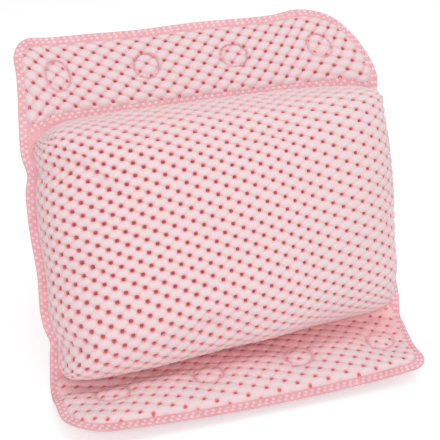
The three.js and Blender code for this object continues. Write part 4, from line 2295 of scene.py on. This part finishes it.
@dataclass
class Studio:
    """Camera at the photograph's angle, soft lamps and a pale floor.

    Args:
        centre: Point that the camera and the lamps look at.
        lamps: The lamps.
    """

    centre: tuple[float, float, float] = (5.16 * MM, 98.0 * MM, 113.52 * MM)
    # camera: angles in degrees, lens and sensor in millimetres, nearest and furthest sight
    azimuth: float = -13.42
    elevation: float = 27.02
    roll: float = -2.71
    distance: float = 816.1 * MM
    lens: float = 71.84
    sensor: float = 36.0
    clip: Band = (0.01, 60.0)
    lamps: tuple[Lamp, ...] = (
        Lamp("key_lamp", (0.45, -0.2, 1.8), 1.2, 6.8),
        Lamp("front_lamp", (-0.3, -1.4, 0.95), 0.8, 6.6),
        Lamp("fill_lamp", (-0.6, -1.55, 0.3), 1.3, 3.0),
    )
    # strengths of the light all round and of the backdrop where it is seen
    ambient: float = 0.62
    backdrop: float = 1.0
    # floor, with the strength that is added where it is seen
    floor_half: float = 6.0
    floor_drop: float = 1 * MM
    floor_grey: float = 0.9
    floor_glow: float = 0.36

    def camera(self) -> None:
        """Places the camera."""
        angles = (self.azimuth, self.elevation, self.roll)
        azimuth, elevation, roll = (math.radians(angle) for angle in angles)
        flat = math.cos(elevation)
        away = Vector((math.sin(azimuth) * flat, -math.cos(azimuth) * flat, math.sin(elevation)))
        right = (-away).cross(Vector((0.0, 0.0, 1.0))).normalized()
        up = right.cross(-away)
        tilted_right = right * math.cos(roll) + up * math.sin(roll)
        tilted_up = up * math.cos(roll) - right * math.sin(roll)
        data = bpy.data.cameras.new("camera")
        data.lens = self.lens
        data.sensor_width = self.sensor
        data.clip_start, data.clip_end = self.clip
        thing = put("camera", data)
        turn = Matrix((tilted_right, tilted_up, away)).transposed().to_4x4()
        thing.matrix_world = Matrix.Translation(Vector(self.centre) + away * self.distance) @ turn
        bpy.context.scene.camera = thing

    def light(self, lamp: Lamp) -> None:
        """Sets up a lamp.

        Args:
            lamp: Which one.
        """
        data = bpy.data.lights.new(lamp.name, "AREA")
        data.size = lamp.size
        data.energy = lamp.power
        thing = put(lamp.name, data)
        thing.location = lamp.place
        aim = Vector(self.centre) - Vector(lamp.place)
        thing.rotation_euler = aim.to_track_quat("-Z", "Y").to_euler()

    @staticmethod
    def seen_mix(sheet: NodeSheet, kind: str, unseen: float, seen: float) -> Socket:
        """Mixes two strengths of white light by who looks.

        Args:
            sheet: Where the nodes go.
            kind: Type of the light's node.
            unseen: Strength that lights the pillow.
            seen: Strength for rays from the camera, reflections and clear parts.

        Returns:
            The mixed light.
        """
        path = sheet.node("ShaderNodeLightPath").outputs
        share = path["Is Camera Ray"]
        for label in ("Is Glossy Ray", "Is Transmission Ray"):
            share = sheet.node("ShaderNodeMath", share, path[label], operation="MAXIMUM").outputs[0]
        lights = [
            sheet.fill(sheet.node(kind), {"Color": WHITE, "Strength": strength}).outputs[0]
            for strength in (unseen, seen)
        ]
        return sheet.node("ShaderNodeMixShader", share, *lights).outputs[0]

    def surroundings(self) -> None:
        """Sets the soft light all round, and a white backdrop where it is seen."""
        world = bpy.data.worlds.new("studio")
        world.use_nodes = True
        world.node_tree.nodes.clear()
        sheet = NodeSheet(world.node_tree)
        light = self.seen_mix(sheet, "ShaderNodeBackground", self.ambient, self.backdrop)
        sheet.node("ShaderNodeOutputWorld", light)
        bpy.context.scene.world = world

    def floor(self) -> None:
        """Lays the pale floor, which looks brighter than the light it throws back."""
        half = self.floor_half
        mesh = bpy.data.meshes.new("floor")
        corners = [(-half, -half, 0.0), (half, -half, 0.0), (half, half, 0.0), (-half, half, 0.0)]
        mesh.from_pydata(corners, [], [(0, 1, 2, 3)])
        material, sheet, _ = new_material("pale_floor")
        material.node_tree.nodes.clear()
        grey = (self.floor_grey,) * 3 + (1.0,)
        matt = sheet.fill(sheet.node("ShaderNodeBsdfDiffuse"), {"Color": grey}).outputs[0]
        glow = self.seen_mix(sheet, "ShaderNodeEmission", 0.0, self.floor_glow)
        both = sheet.node("ShaderNodeAddShader", matt, glow).outputs[0]
        sheet.node("ShaderNodeOutputMaterial", both)
        mesh.materials.append(material)
        thing = put("floor", mesh)
        thing.location.z = -self.floor_drop

    def build(self) -> None:
        """Sets up camera, light and floor."""
        bpy.context.scene.view_settings.view_transform = "Standard"
        self.camera()
        self.surroundings()
        for lamp in self.lamps:
            self.light(lamp)
        self.floor()


LOWER_MESH = MeshLattice(
    right=(10.1 * MM, -4.4 * MM),
    left=(-7.1 * MM, -8.0 * MM),
    cells=8,
    hole_radius=1.65 * MM,
    right_crease=0.9 * MM,
    left_crease=0.7 * MM,
    knot=0.4 * MM,
    pit=1.5 * MM,
    bow=-0.5,
    puff=2.6,
)
UPPER_MESH = replace(
    LOWER_MESH,
    right=(9.6 * MM, -5.1 * MM),
    left=(-7.3 * MM, -7.3 * MM),
    right_crease=1.6 * MM,
    left_crease=1.7 * MM,
    pit=1.3 * MM,
    bow=0.7,
    puff=2.3,
)
LOWER_OVALS = ((1.05, 0.9), (1.0, 1.0), (0.95, 1.05), (1.2, 1.0, -20.0))
UPPER_OVALS = ((0.92, 1.2, 14.0), (0.88, 0.98), (0.98, 0.92), (0.82, 0.95))


def main() -> None:
    """Builds the studio and every piece of the pillow."""
    logging.basicConfig(level=logging.INFO, format="%(name)s: %(message)s")
    Studio().build()
    plan = PillowPlan.from_frame(frame)
    palette = Palette.mixed()
    cushion = Cushion(plan, palette)
    cushion.build()
    flaps = [
        Flap(plan, palette, FlapRow.LOWER, LOWER_MESH, LOWER_OVALS),
        Flap(plan, palette, FlapRow.UPPER, UPPER_MESH, UPPER_OVALS),
    ]
    for flap in flaps:
        flap.build()
    WeldStrips(plan, palette).build(flaps, cushion)
    SuctionCups(frame["joints"], palette).build()


if __name__ == "__main__":
    main()
